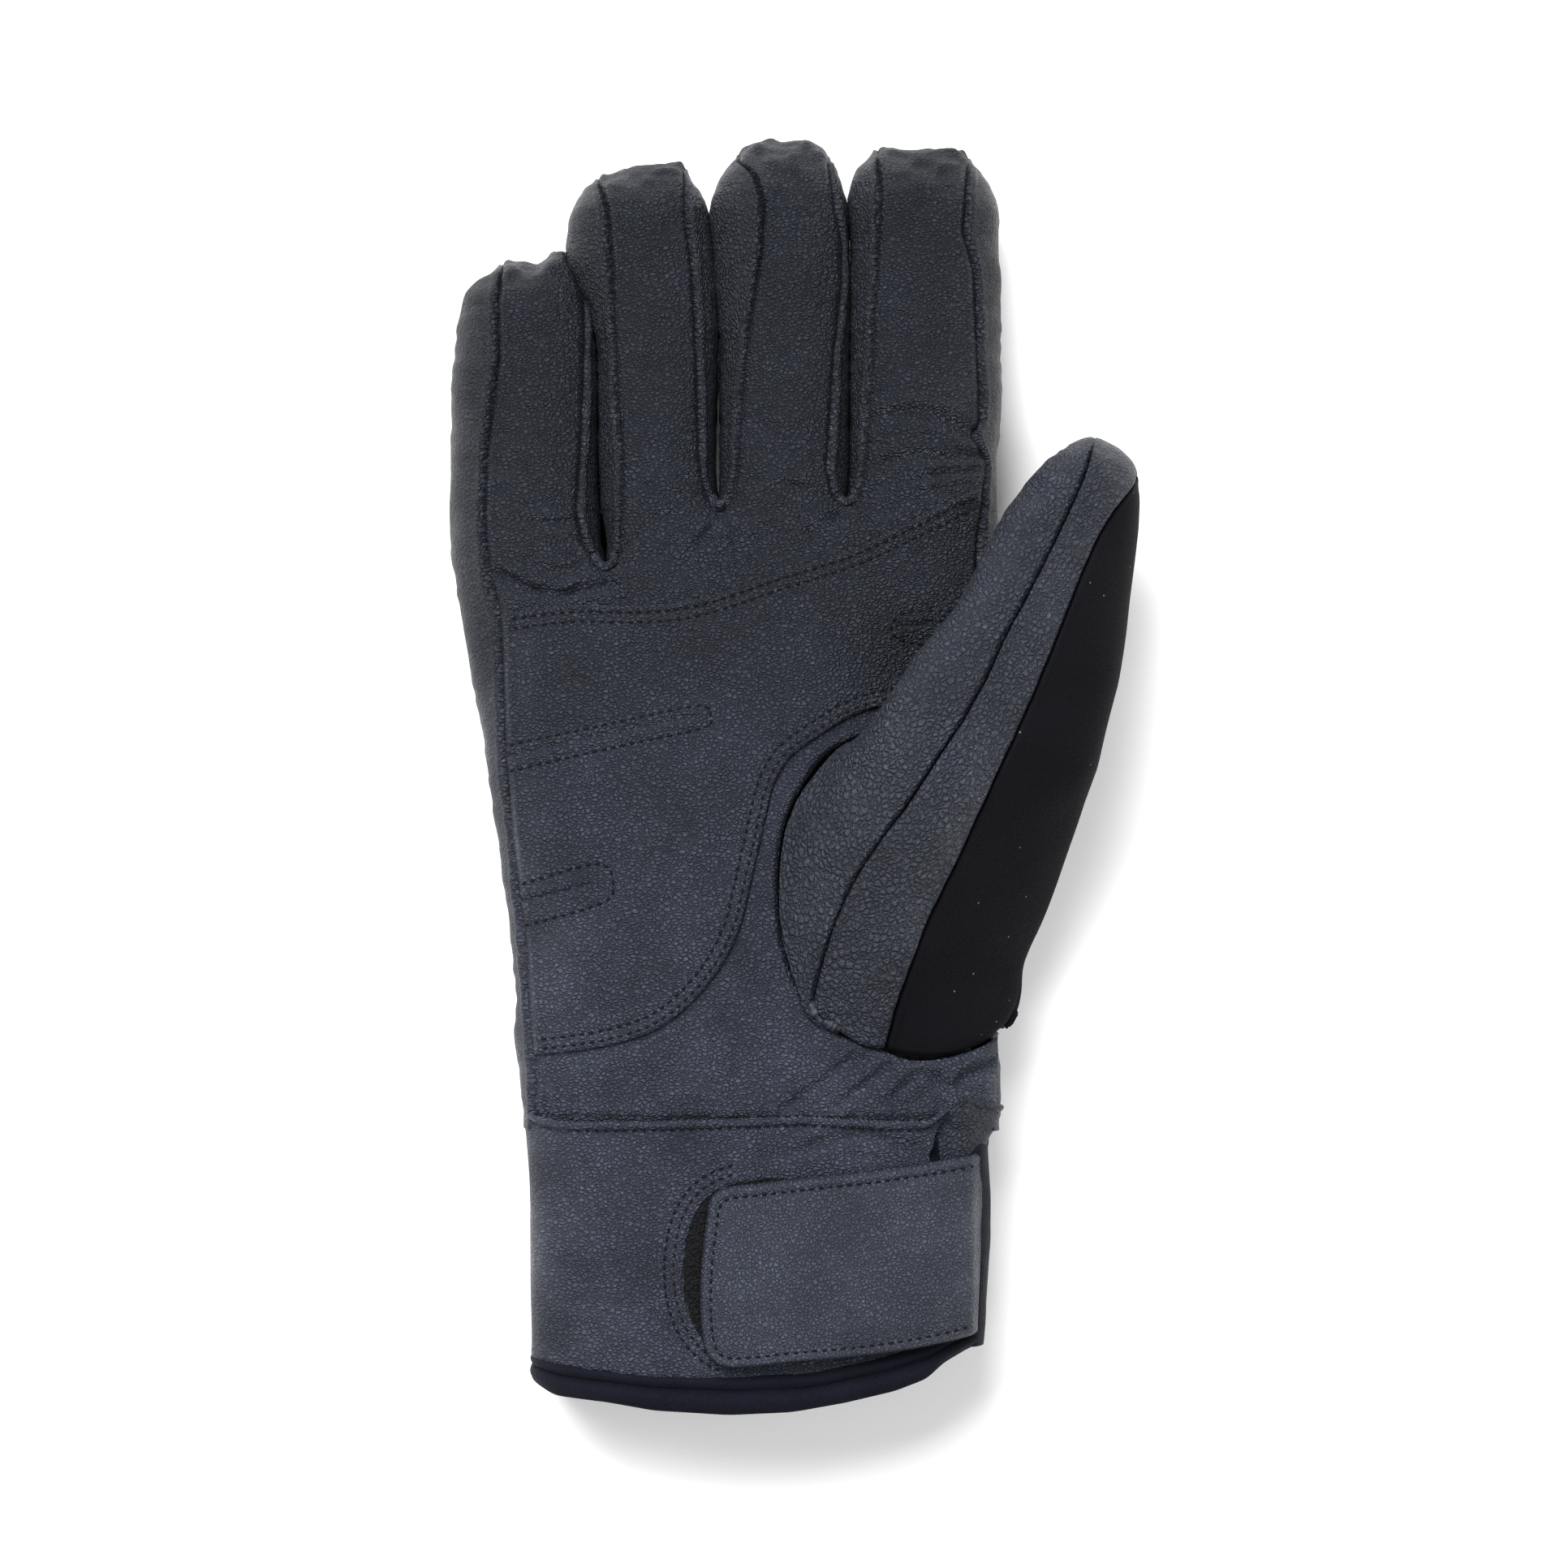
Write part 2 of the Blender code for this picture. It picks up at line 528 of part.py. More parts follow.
def make_cuff():
    ys = steps(HEM_Y + GAP, WRIST_Y - GAP, 5)
    skin_panel("cuff_front_panel", "leather", CUFF, ys, cuff_angle(33.0), cuff_angle(-53.0), count=10)
    edge_left, edge_right = curve([(-140, -47.5), (-72, -49.5)]), curve([(-140, 31.0), (-72, 35.5)])
    back = [(edge_left(y), y) for y in ys] + [(edge_right(y), y) for y in reversed(ys)]
    outline_panel("cuff_back_panel", "softshell", back, flat(0.0), BACK_TOP, step=400.0, up=False)
    skin_panel("cuff_outer_side", "leather", CUFF, ys, cuff_angle(-53.0),
               lambda y: 2 * math.pi + CUFF.under_angle(y, edge_left(y) - GAP), count=7)
    skin_panel("cuff_gusset", "softshell", CUFF, ys, lambda y: CUFF.under_angle(y, edge_right(y) + GAP),
               cuff_angle(33.0), count=8)
    sleeve("cuff_lining", "lining", CUFF, steps(HEM_Y + GAP, -75.5, 4), LINING, False, count=18)
    sleeve("wrist_elastic", "elastic", HAND, steps(-71.4, -65.2, 2), (1.7, 0.9), False, count=18)
    sleeve("hem_binding", "binding", CUFF, steps(HEM_Y - 4.5, HEM_Y, 2), (-0.6, 3.4), False, count=24)
    skin_panel("loop_patch", "loop_pile", CUFF, steps(-118.0, -89.5, 3), cuff_angle(26.0),
               cuff_angle(-23.3), layer=(-1.0, 0.7), count=7)
    skin_panel("strap_root", "strap_leather", CUFF, steps(*STRAP_Y, 4), lambda y: -0.20 * math.pi,
               lambda y: 0.10 * math.pi, layer=(-2.4, 1.4), count=7)


def make_strap(parent):
    low_x, high_x = STRAP_X
    low_y, high_y = STRAP_Y
    parts = (
        ("strap_hook_tape", "hook_tape", (-2.1, 0.8), 2.5, 12.0),
        ("strap_backing", "lining", (-3.1, 0.7), 1.2, high_x),
        ("strap_leather", "strap_leather", (-4.6, 1.2), 0.0, high_x),
    )
    for name, colour, layer, margin, end in parts:
        ys = steps(low_y + margin, high_y - margin, 4)
        skin_panel(name, colour, CUFF, ys, cuff_angle(end), cuff_angle(low_x + margin),
                   layer=layer, count=10, parent=parent)


# ---------------------------------------------------------------- build

for item in list(bpy.data.objects):
    bpy.data.objects.remove(item, do_unlink=True)
glove = bpy.data.collections.new("ski_glove")
cutters = bpy.data.collections.new("cutters")
for group in (glove, cutters):
    bpy.context.scene.collection.children.link(group)

make_hand()
make_thumb_base()
make_cuff()
for label, (hinge_y, shape, seam_1, seam_2, sides) in FINGERS.items():
    middle_x = (shape.left(hinge_y) + shape.right(hinge_y)) / 2
    make_finger(label, hinge_y, shape, seam_1, seam_2, sides,
                pivot(f"{label}_pivot", middle_x, hinge_y, FINGER_PIVOT_Z))
make_thumb(pivot("thumb_pivot", *THUMB_ORIGIN, THUMB_PIVOT_Z))
make_strap(pivot("strap_pivot", STRAP_PIVOT[0], -103.0, STRAP_PIVOT[1]))
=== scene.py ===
import json
import math

import bpy
import numpy as np
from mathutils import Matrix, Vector, geometry, kdtree

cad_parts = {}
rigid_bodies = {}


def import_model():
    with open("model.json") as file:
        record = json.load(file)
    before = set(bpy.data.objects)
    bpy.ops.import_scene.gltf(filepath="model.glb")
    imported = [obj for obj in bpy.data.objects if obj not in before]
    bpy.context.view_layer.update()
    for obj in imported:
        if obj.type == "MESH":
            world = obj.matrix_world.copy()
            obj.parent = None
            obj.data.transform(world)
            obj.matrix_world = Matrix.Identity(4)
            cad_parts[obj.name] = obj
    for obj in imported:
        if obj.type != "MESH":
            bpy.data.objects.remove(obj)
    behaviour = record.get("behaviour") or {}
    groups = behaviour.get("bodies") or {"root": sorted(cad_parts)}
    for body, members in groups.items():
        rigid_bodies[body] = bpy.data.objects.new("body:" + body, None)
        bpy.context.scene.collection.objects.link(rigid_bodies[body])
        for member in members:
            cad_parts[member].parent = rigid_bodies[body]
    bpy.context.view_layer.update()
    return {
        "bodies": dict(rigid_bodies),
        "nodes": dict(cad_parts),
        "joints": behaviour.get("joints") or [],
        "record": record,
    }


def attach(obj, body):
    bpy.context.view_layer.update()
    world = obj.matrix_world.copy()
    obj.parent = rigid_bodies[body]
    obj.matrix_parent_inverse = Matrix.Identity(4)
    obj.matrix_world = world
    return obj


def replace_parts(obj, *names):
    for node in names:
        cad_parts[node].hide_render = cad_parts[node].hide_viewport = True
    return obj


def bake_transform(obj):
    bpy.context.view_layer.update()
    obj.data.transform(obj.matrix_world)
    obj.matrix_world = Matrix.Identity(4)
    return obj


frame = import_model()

# Lengths below are millimetres until mesh_object() turns them into metres.
MM = 0.001
STEP = 0.85       # between points inside a panel
FINE = 0.42       # between points along a seam
RING_DEPTHS = (0.3, 0.7, 1.2, 1.8, 2.5)


# ---------------------------------------------------------------- lines and noise

def even(points, spacing):
    """The line through the points, at an even spacing."""
    points = np.asarray(points, float)
    lengths = np.concatenate([[0], np.cumsum(np.linalg.norm(np.diff(points, axis=0), axis=1))])
    count = max(2, int(round(lengths[-1] / spacing)) + 1)
    at = np.linspace(0, lengths[-1], count)
    return np.stack([np.interp(at, lengths, points[:, k]) for k in range(points.shape[1])], 1)


def smooth_line(points, spacing=FINE):
    """A smooth line through the points, at an even spacing."""
    p = np.array(points, float)
    p = np.vstack([2 * p[0] - p[1], p, 2 * p[-1] - p[-2]])
    t = np.linspace(0, 1, 16, endpoint=False)[:, None]
    parts = []
    for a, b, c, d in zip(p, p[1:], p[2:], p[3:]):
        parts.append(b + 0.5 * t * (c - a + t * (2 * a - 5 * b + 4 * c - d + t * (3 * b - a - 3 * c + d))))
    return even(np.vstack(parts + [p[-2:-1]]), spacing)


def curve(points, soften=2.0):
    """A function of the first coordinate through the given (position, value) points, rounded a little."""
    at, values = np.array(points, float).T
    grid = np.arange(at[0] - 30, at[-1] + 30, 0.5)
    kernel = np.hanning(2 * int(soften / 0.5) + 3)
    kernel /= kernel.sum()
    padded = np.pad(np.interp(grid, at, values), len(kernel) // 2, mode="edge")
    fine = np.convolve(padded, kernel, "valid")
    return lambda s: np.interp(s, grid, fine)


def smoothstep(x, low, high):
    t = np.clip((np.asarray(x, float) - low) / (high - low), 0, 1)
    return t * t * (3 - 2 * t)


def bump(d, middle, width):
    return np.exp(-((d - middle) / width) ** 2)


def noise(x, y, seed):
    """Smooth random values from -1 to 1, one swing about every unit."""
    table = np.random.default_rng(seed).random((97, 89)) * 2 - 1
    i, j = np.floor(x).astype(int), np.floor(y).astype(int)
    u, v = x - i, y - j
    u, v = u * u * (3 - 2 * u), v * v * (3 - 2 * v)
    low = table[i % 97, j % 89] * (1 - u) + table[(i + 1) % 97, j % 89] * u
    high = table[i % 97, (j + 1) % 89] * (1 - u) + table[(i + 1) % 97, (j + 1) % 89] * u
    return low * (1 - v) + high * v


class Nearness:
    """Distances from points to a line."""

    def __init__(self, points, spacing=0.3):
        self.line = even(points, spacing)
        self.tree = kdtree.KDTree(len(self.line))
        for k, p in enumerate(self.line):
            self.tree.insert((p[0], p[1], 0.0), k)
        self.tree.balance()

    def __call__(self, x, y):
        x, y = np.broadcast_arrays(np.asarray(x, float), np.asarray(y, float))
        found = [self.tree.find((a, b, 0.0))[2] for a, b in zip(x.ravel(), y.ravel())]
        return np.array(found).reshape(x.shape)


def signed_power(value, power):
    return np.sign(value) * np.abs(value) ** power


# ---------------------------------------------------------------- the tubes

class Tube:
    """A rounded tube between a left and a right contour, turning over a tip or open."""

    def __init__(self, left, right, middle, half, power, under=None, tip=None, tilt=0.0, frame=None,
                 tip_line=None):
        self.left, self.right = curve(left), curve(right)
        self.middle, self.half = curve(middle), curve(half)
        self.power, self.under, self.tilt = power, under or power, tilt
        self.tip = tip or 1e6
        self.reach = float(self.half(tip)) if tip else 1.0
        self.start = self.tip - self.reach
        self.frame = frame or ((0.0, 0.0), (0.0, 1.0))
        self.tip_line = curve(tip_line, 1.5) if tip_line else None

    def section(self, y):
        low, high = self.left(y), self.right(y)
        return (low + high) / 2, (high - low) / 2, self.middle(y), self.half(y)

    def along(self, s, out=0.0):
        """Distance along the tube, and the turn over its tip, s along the skin."""
        turn = np.maximum(0.0, s - self.start) / self.reach
        return np.where(turn > 0, self.start + (self.reach + out) * np.sin(turn), s), turn

    def point(self, s, angle, out=0.0):
        y, turn = self.along(s, out)
        centre, wide, middle, half = self.section(np.minimum(y, self.tip))
        ca, sa = np.cos(angle), np.sin(angle)
        power = np.where(sa >= 0, self.power, self.under)
        x = centre + (wide + out) * signed_power(ca, 2 / power)
        z = middle + (half + out) * signed_power(sa, 2 / power) * np.cos(turn) - self.tilt * (x - centre)
        if self.tip_line:
            y = y + (self.tip_line(x) - self.tip) * np.sin(np.minimum(turn, math.pi)) ** 2
        return self.place(x, y, z)

    def place(self, x, y, z):
        (ox, oy), (dx, dy) = self.frame
        x, y, z = np.broadcast_arrays(x, y, z)
        return np.stack([ox + x * dy + y * dx, oy - x * dx + y * dy, z], -1)

    def angle(self, y, x):
        centre, wide, _, _ = self.section(y)
        return np.arccos(signed_power(np.clip((x - centre) / wide, -0.9995, 0.9995), self.power / 2))

    def under_angle(self, y, x):
        centre, wide, _, _ = self.section(y)
        return -np.arccos(signed_power(np.clip((x - centre) / wide, -0.9995, 0.9995), self.under / 2))

    def crown(self, x, y):
        """From 0 at the contours to 1 on the crest: the section's height over its middle."""
        centre, wide, _, _ = self.section(y)
        share = np.clip(np.abs(x - centre) / wide, 0, 0.9995)
        return (1 - share ** self.power) ** (1 / self.power)

    def top(self, x, y):
        _, _, middle, half = self.section(y)
        return middle + half * self.crown(x, y)


HAND = Tube(
    left=[(-72, -57.5), (-57, -59.4), (-48, -58.8), (-30, -60.5), (9, -66.3), (30, -70.3), (46, -72.6),
          (60, -73.0)],
    right=[(-72, 44.0), (-54, 44.0), (-40, 42.6), (8, 43.2), (60, 43.4)],
    middle=[(0, 15.9)], half=[(0, 15.3)], power=3.4, under=6.0,
)
CUFF = Tube(
    left=[(-140, -55.4), (-124, -55.8), (-93, -55.9), (-76, -57.2), (-70, -58.0)],
    right=[(-140, 37.5), (-121, 39.6), (-99, 41.2), (-78, 40.6), (-72, 43.6)],
    middle=[(0, 15.9)], half=[(0, 15.2)], power=3.4, under=6.0,
)


class Finger(Tube):
    """A finger, as deep as the hand where it leaves the palm at its split line."""

    def __init__(self, split, tip, left, right, seam_low, seam_high, tip_line, sides, feet):
        middle = [(split - 12, 15.9), (split, 15.6), (split + 14, 15.0), (split + 32, 14.4), (tip, 14.2)]
        half = [(split - 12, 15.2), (split, 14.8), (split + 14, 13.9), (split + 32, 13.0), (tip, 12.4)]
        super().__init__(left, right, middle, half, power=2.7, tip=tip, tip_line=tip_line)
        self.split, self.feet = split, feet
        self.seam_low, self.seam_high = curve(seam_low, 1.0), curve(seam_high, 1.0)
        self.side_nodes = sides


FINGERS = {
    "little": Finger(
        50.0, 110.3,
        [(40, -72.0), (46, -72.6), (60, -73.0), (84, -72.7), (94, -71.6), (102, -70.0), (106, -67.0),
         (110.3, -62.9)],
        [(42, -40.2), (45, -40.9), (50, -42.0), (60, -42.3), (84, -42.2), (95, -43.2), (101, -44.2),
         (104, -45.4), (107, -46.6), (110.3, -48.4)],
        [(44, -64.8), (53, -65.4), (66, -65.1), (78, -63.7), (88, -62.4), (99, -62.8), (105, -62.3),
         (110, -62.4)],
        [(42.4, -40.4), (43, -41.4), (44.8, -42.7), (47, -43.9), (50, -45.0), (55, -46.0), (66, -45.3),
         (80, -44.7), (93, -44.4), (102, -44.8), (108, -47.6)],
        [(-66, 107.4), (-62.4, 108.7), (-58, 107.9), (-54.5, 106.9), (-52.3, 110.0), (-50.3, 110.6),
         (-47, 108.6)],
        ("little_outer_side", "little_inner_fourchette"), (50.0, 42.6),
    ),
    "ring": Finger(
        60.5, 130.2,
        [(42, -39.4), (50, -39.4), (57, -40.7), (66, -41.4), (90, -41.6), (99, -43.6), (107, -48.0),
         (112, -48.7), (118, -47.6), (124, -45.3), (127, -43.9), (130.2, -42.3)],
        [(54, -16.2), (58.6, -16.9), (66, -17.3), (80, -17.2), (95, -16.6), (112, -17.2), (118, -18.5),
         (125, -20.4), (130.2, -23.2)],
        [(42.4, -39.8), (42.9, -38.6), (44.4, -37.5), (48, -36.8), (53, -36.4), (67, -36.4), (83, -37.8),
         (99, -38.4), (109, -38.8), (118, -39.4), (128, -42.0)],
        [(55, -16.4), (56.4, -17.5), (58.6, -18.6), (62, -19.7), (73, -20.3), (86, -20.6), (106, -21.6),
         (117, -23.0), (127, -23.3)],
        [(-43, 126.6), (-36, 128.4), (-29.5, 129.3), (-25.5, 130.3), (-23, 129.2), (-21, 126.0)],
        ("ring_outer_fourchette", "ring_inner_fourchette"), (42.6, 55.2),
    ),
    "middle": Finger(
        60.5, 134.8,
        [(54, -16.0), (58.6, -15.7), (66, -15.6), (90, -15.4), (106, -17.0), (117, -18.1), (123, -17.1),
         (128, -15.2), (131, -13.4), (134.8, -12.1)],
        [(56, 10.6), (59, 10.9), (64, 11.3), (80, 11.2), (100, 11.4), (112, 11.4), (120, 11.0), (126, 9.5),
         (131, 8.2), (134.8, 7.3)],
        [(55, -15.9), (55.4, -15.0), (56.6, -14.0), (59, -13.1), (67, -12.1), (80, -11.2), (94, -9.6),
         (109, -7.1), (120, -6.5), (126, -8.3), (131, -12.1)],
        [(56.4, 10.4), (57.1, 9.1), (58.9, 7.9), (64, 7.0), (76, 7.6), (89, 8.5), (103, 10.0),
         (112.6, 10.2), (119.5, 8.6), (130, 7.2)],
        [(-12.5, 131.8), (-9, 133.6), (-3.4, 134.1), (0.9, 134.8), (3.5, 134.6), (6, 132.7), (8, 131.0)],
        ("middle_outer_fourchette", "middle_inner_fourchette"), (55.2, 56.6),
    ),
    "index": Finger(
        60.5, 133.2,
        [(56, 11.2), (59, 11.5), (64, 11.8), (80, 12.0), (110, 12.2), (123, 11.7), (129, 13.4),
         (133.2, 17.2)],
        [(51, 42.0), (62.6, 42.6), (67.7, 42.4), (72, 43.3), (80, 43.6), (107, 43.3), (120, 43.0),
         (124.5, 41.7), (129, 39.3), (133.2, 37.4)],
        [(56.4, 11.2), (56.8, 12.3), (58.2, 13.3), (65, 14.6), (80, 15.7), (95, 16.6), (111, 17.6),
         (123, 18.1), (132, 17.6)],
        [(51, 39.1), (58, 39.8), (65, 40.8), (68, 39.2), (71, 37.4), (74, 39.0), (80, 39.1), (95, 38.5),
         (106, 37.9),
         (114, 35.7), (123, 36.4), (132, 37.2)],
        [(15, 132.4), (16.6, 133.1), (22.9, 132.7), (29.2, 132.2), (36, 132.4), (37.6, 130.8)],
        ("index_outer_fourchette", "index_inner_side"), (56.6, 60.5),
    ),
}

THUMB = Tube(
    left=[(-20, -28.0), (0, -24.0), (7.5, -22.1), (21, -17.8), (43, -15.2), (52, -12.4), (59, -9.6),
          (65.6, -7.6)],
    right=[(0, 21.7), (18.5, 19.7), (31, 17.2), (43.6, 14.2), (50.6, 12.5), (59.0, 9.6), (65.6, 8.4)],
    middle=[(-12, 38.6), (0, 36.8), (25, 34.0), (45, 30.5), (66, 28.5)],
    half=[(0, 11.3), (25, 11.8), (45, 11.0), (66, 10.5)],
    power=2.5, tip=65.6, tilt=0.28, frame=((43.0, 8.3), (0.354, 0.935)),
    tip_line=[(-9.5, 60.0), (-8.0, 61.4), (-5.7, 64.0), (-3.1, 65.4), (2.3, 65.0), (6.6, 63.2), (8.2, 61.2),
              (9.5, 59.0)],
)
THUMB_SEAM_A = curve([(0, -8.7), (8, -7.6), (19, -6.9), (36, -4.4), (54, -2.9), (66, -3.4)])
THUMB_SEAM_B = curve([(0, 2.7), (17, 3.5), (34, 4.0), (45, 4.5), (52, 5.8), (58, 7.9), (65.6, 8.2)])

# From the wrist to the thumb's hinge line, as (x, y, z)
BASE_LEFT = [(8.9, -54.4, 31.3), (3.4, -49.6, 31.6), (-1.3, -40.6, 31.9), (-3.4, -30.5, 32.0),
             (-3.5, -19.7, 32.1), (-2.2, -11.4, 32.2),
             (1.4, -3.2, 32.4), (6.8, 3.8, 33.4), (14.2, 8.2, 37.5), (20.4, 16.3, 43.4)]
BASE_SEAM_A = [(9.4, -54.6, 31.4), (3.9, -49.9, 32.2), (6.8, -36.0, 36.5), (11.4, -24.2, 40.5),
               (16.9, -15.1, 44.0),
               (24.2, -5.1, 47.2), (34.7, 10.9, 50.0)]
BASE_SEAM_B = [(19.2, -57.8, 30.8), (23.3, -43.3, 36.0), (28.6, -29.7, 40.0), (34.1, -17.8, 43.0),
               (40.5, -3.2, 45.9), (45.3, 6.9, 46.9)]
BASE_RIGHT = [(43.2, -54.4, 18.0), (45.9, -51.8, 18.2), (47.2, -47.8, 18.5), (47.7, -42.4, 19.0),
              (48.9, -38.8, 19.8), (52.4, -31.5, 21.5), (56.0, -22.4, 24.0),
              (59.2, -12.2, 27.0), (63.4, 0.2, 30.6)]
BASE_UNDER = [(41.4, -54.0, 8.0), (43.0, -42.0, 9.5), (43.6, -31.0, 11.5), (44.2, -20.0, 15.0),
              (44.8, -8.0, 19.5), (46.4, 6.4, 25.6)]


# ---------------------------------------------------------------- meshes

def mesh_object(name, points, faces, uv, material, thickness=0.0):
    mesh = bpy.data.meshes.new(name)
    mesh.from_pydata((np.asarray(points) * MM).tolist(), [], [tuple(f) for f in np.asarray(faces).tolist()])
    mesh.shade_smooth()
    layer = mesh.uv_layers.new(name="millimetres")
    corner = np.empty(len(mesh.loops), np.int32)
    mesh.loops.foreach_get("vertex_index", corner)
    layer.data.foreach_set("uv", np.asarray(uv, np.float32)[corner].ravel())
    obj = bpy.data.objects.new(name, mesh)
    bpy.context.scene.collection.objects.link(obj)
    mesh.materials.append(material)
    if thickness:
        solid = obj.modifiers.new("Thickness", "SOLIDIFY")
        solid.thickness = thickness * MM
        solid.offset = -1.0
    return obj


def grid_uv(points):
    """Distances across and along a grid of points, in millimetres."""
    across = np.linalg.norm(np.diff(points, axis=1), axis=2)
    across = np.hstack([np.zeros((len(points), 1)), np.cumsum(across, axis=1)])
    middle = points.shape[1] // 2
    along = np.linalg.norm(np.diff(points[:, middle], axis=0), axis=1)
    along = np.concatenate([[0], np.cumsum(along)])
    across -= across[:, middle:middle + 1]
    return np.stack([across, np.broadcast_to(along[:, None], across.shape)], -1)


def grid_object(name, points, inside, material, thickness=0.9, uv=None):
    """A skin through a grid of points, facing away from the point inside."""
    rows, cols = points.shape[:2]
    index = np.arange(rows * cols).reshape(rows, cols)
    corners = (index[:-1, :-1], index[:-1, 1:], index[1:, 1:], index[1:, :-1])
    faces = np.stack(corners, -1).reshape(-1, 4)
    flat = points.reshape(-1, 3)
    a, b, c = (flat[faces[:, k]] for k in range(3))
    facing = np.einsum("ij,ij->i", np.cross(b - a, c - a), a - np.asarray(inside, float)).sum()
    if facing < 0:
        faces = faces[:, ::-1]
    uv = grid_uv(points) if uv is None else uv
    return mesh_object(name, flat, faces, uv.reshape(-1, 2), material, thickness)


def without_rim(obj):
    """Leave a sheet's edges open, where it runs on into the next one under the same surface."""
    obj.modifiers["Thickness"].use_rim = False
    return obj


def normals_of(points):
    across = np.gradient(points, axis=1)
    along = np.gradient(points, axis=0)
    n = np.cross(across, along)
    return n / np.maximum(np.linalg.norm(n, axis=2, keepdims=True), 1e-9)


def edge_distances(points):
    """Distances of a grid's points from its first and last columns, along the rows."""
    across = np.linalg.norm(np.diff(points, axis=1), axis=2)
    run = np.hstack([np.zeros((len(points), 1)), np.cumsum(across, axis=1)])
    return run, run[:, -1:] - run


def columns(count):
    t = np.linspace(0, 1, count)
    return t - 0.115 * np.sin(2 * math.pi * t)


def sewn_edge(d, curl=1.6, welt=0.3, width=0.5):
    """How a panel turns in at a seam, with a rounded welt beside it."""
    return welt * bump(d, 3 * width, 1.8 * width) - curl * bump(d, 0.0, width)


def outline_mesh(outline):
    """Points and triangles filling a closed outline, closer together near its edge."""
    near = Nearness(np.vstack([outline, outline[:1]]))
    before, after = np.roll(outline, 1, axis=0), np.roll(outline, -1, axis=0)
    tangent = after - before
    tangent /= np.maximum(np.linalg.norm(tangent, axis=1, keepdims=True), 1e-9)
    area = 0.5 * np.sum(outline[:, 0] * after[:, 1] - after[:, 0] * outline[:, 1])
    inward = np.stack([-tangent[:, 1], tangent[:, 0]], 1) * np.sign(area)
    extra = []
    for k, depth in enumerate(RING_DEPTHS):
        ring = outline[:: 1 + k // 2] + inward[:: 1 + k // 2] * depth
        extra.append(ring[near(ring[:, 0], ring[:, 1]) > 0.9 * depth])
    low, high = outline.min(0), outline.max(0)
    rows = np.arange(low[1], high[1], STEP * 0.866)
    x = np.arange(low[0], high[0], STEP)
    grid = np.array([(a + (k % 2) * STEP / 2, b) for k, b in enumerate(rows) for a in x])
    extra.append(grid[near(grid[:, 0], grid[:, 1]) > RING_DEPTHS[-1] + 0.5 * STEP])
    points = np.vstack([outline] + extra)
    count = len(outline)
    edges = [(k, (k + 1) % count) for k in range(count)]
    result = geometry.delaunay_2d_cdt([Vector(p) for p in points], edges, [], 1, 1e-5)
    return np.array([(v.x, v.y) for v in result[0]]), [tuple(f) for f in result[2]]


def height_object(name, outline, height, material, thickness=0.9):
    """A panel cut to the outline and laid over the surface height(x, y)."""
    points, faces = outline_mesh(outline)
    z = height(points[:, 0], points[:, 1])
    a, b, c = (points[[f[k] for f in faces]] for k in range(3))
    turn = (b[:, 0] - a[:, 0]) * (c[:, 1] - a[:, 1]) - (b[:, 1] - a[:, 1]) * (c[:, 0] - a[:, 0])
    faces = [f if s > 0 else f[::-1] for f, s in zip(faces, turn)]
    return mesh_object(name, np.column_stack([points, z]), faces, points, material, thickness)


STITCH_RINGS, STITCH_SIDES = 4, 6


def stitches(name, lines, height, material, pitch=2.0, radius=0.28, lift=0.1):
    """A row of short stitches along each line, lying on the surface height(x, y)."""
    verts, faces, uvs = [], [], []
    for line in lines:
        line = even(line, pitch)
        start, end = line[:-1], line[1:]
        for a, b in zip(start, end):
            direction = (b - a) / max(np.linalg.norm(b - a), 1e-9)
            side = np.array([-direction[1], direction[0]])
            half = 0.33 * np.linalg.norm(b - a)
            middle = (a + b) / 2
            first = len(verts)
            for i in range(STITCH_RINGS + 1):
                share = -1 + 2 * i / STITCH_RINGS
                girth = radius * max(0.25, math.sqrt(1 - 0.93 * share * share))
                for j in range(STITCH_SIDES):
                    angle = 2 * math.pi * j / STITCH_SIDES
                    spot = middle + direction * half * share + side * girth * math.cos(angle)
                    sink = 0.22 * share * share
                    verts.append((spot[0], spot[1], girth * math.sin(angle) - sink))
                    uvs.append((half * share, j))
            for i in range(STITCH_RINGS):
                for j in range(STITCH_SIDES):
                    k = (j + 1) % STITCH_SIDES
                    low, high = first + i * STITCH_SIDES, first + (i + 1) * STITCH_SIDES
                    faces.append((low + j, low + k, high + k, high + j))
    verts = np.array(verts)
    per = (STITCH_RINGS + 1) * STITCH_SIDES
    middles = verts.reshape(-1, per, 3)[:, :, :2].mean(1)
    verts[:, 2] += np.repeat(height(middles[:, 0], middles[:, 1]) + lift, per)
    return mesh_object(name, verts, faces, uvs, material)


# ---------------------------------------------------------------- materials

def add_node(tree, kind, settings=None, **values):
    node = tree.nodes.new("ShaderNode" + kind)
    for key, value in (settings or {}).items():
        setattr(node, key, value)
    for key, value in values.items():
        socket = node.inputs[int(key[1:])] if key[0] == "_" else node.inputs[key.replace("_", " ")]
        if isinstance(value, bpy.types.NodeSocket):
            tree.links.new(value, socket)
        else:
            socket.default_value = value
    return node


def new_material(name, sheen=0.0, coat=0.0, specular=0.5):
    material = bpy.data.materials.new(name)
    material.use_nodes = True
    tree = material.node_tree
    shader = tree.nodes["Principled BSDF"]
    shader.inputs["Sheen Weight"].default_value = sheen
    shader.inputs["Sheen Roughness"].default_value = 0.45
    shader.inputs["Coat Weight"].default_value = coat
    shader.inputs["Specular IOR Level"].default_value = specular
    return material, tree, shader


def spread(tree, value, low, high, start, end):
    return add_node(tree, "MapRange", {"interpolation_type": "SMOOTHSTEP"}, _0=value, _1=low, _2=high,
                    _3=start, _4=end).outputs[0]


def maths(tree, operation, a, b=0.0):
    return add_node(tree, "Math", {"operation": operation}, _0=a, _1=b).outputs[0]


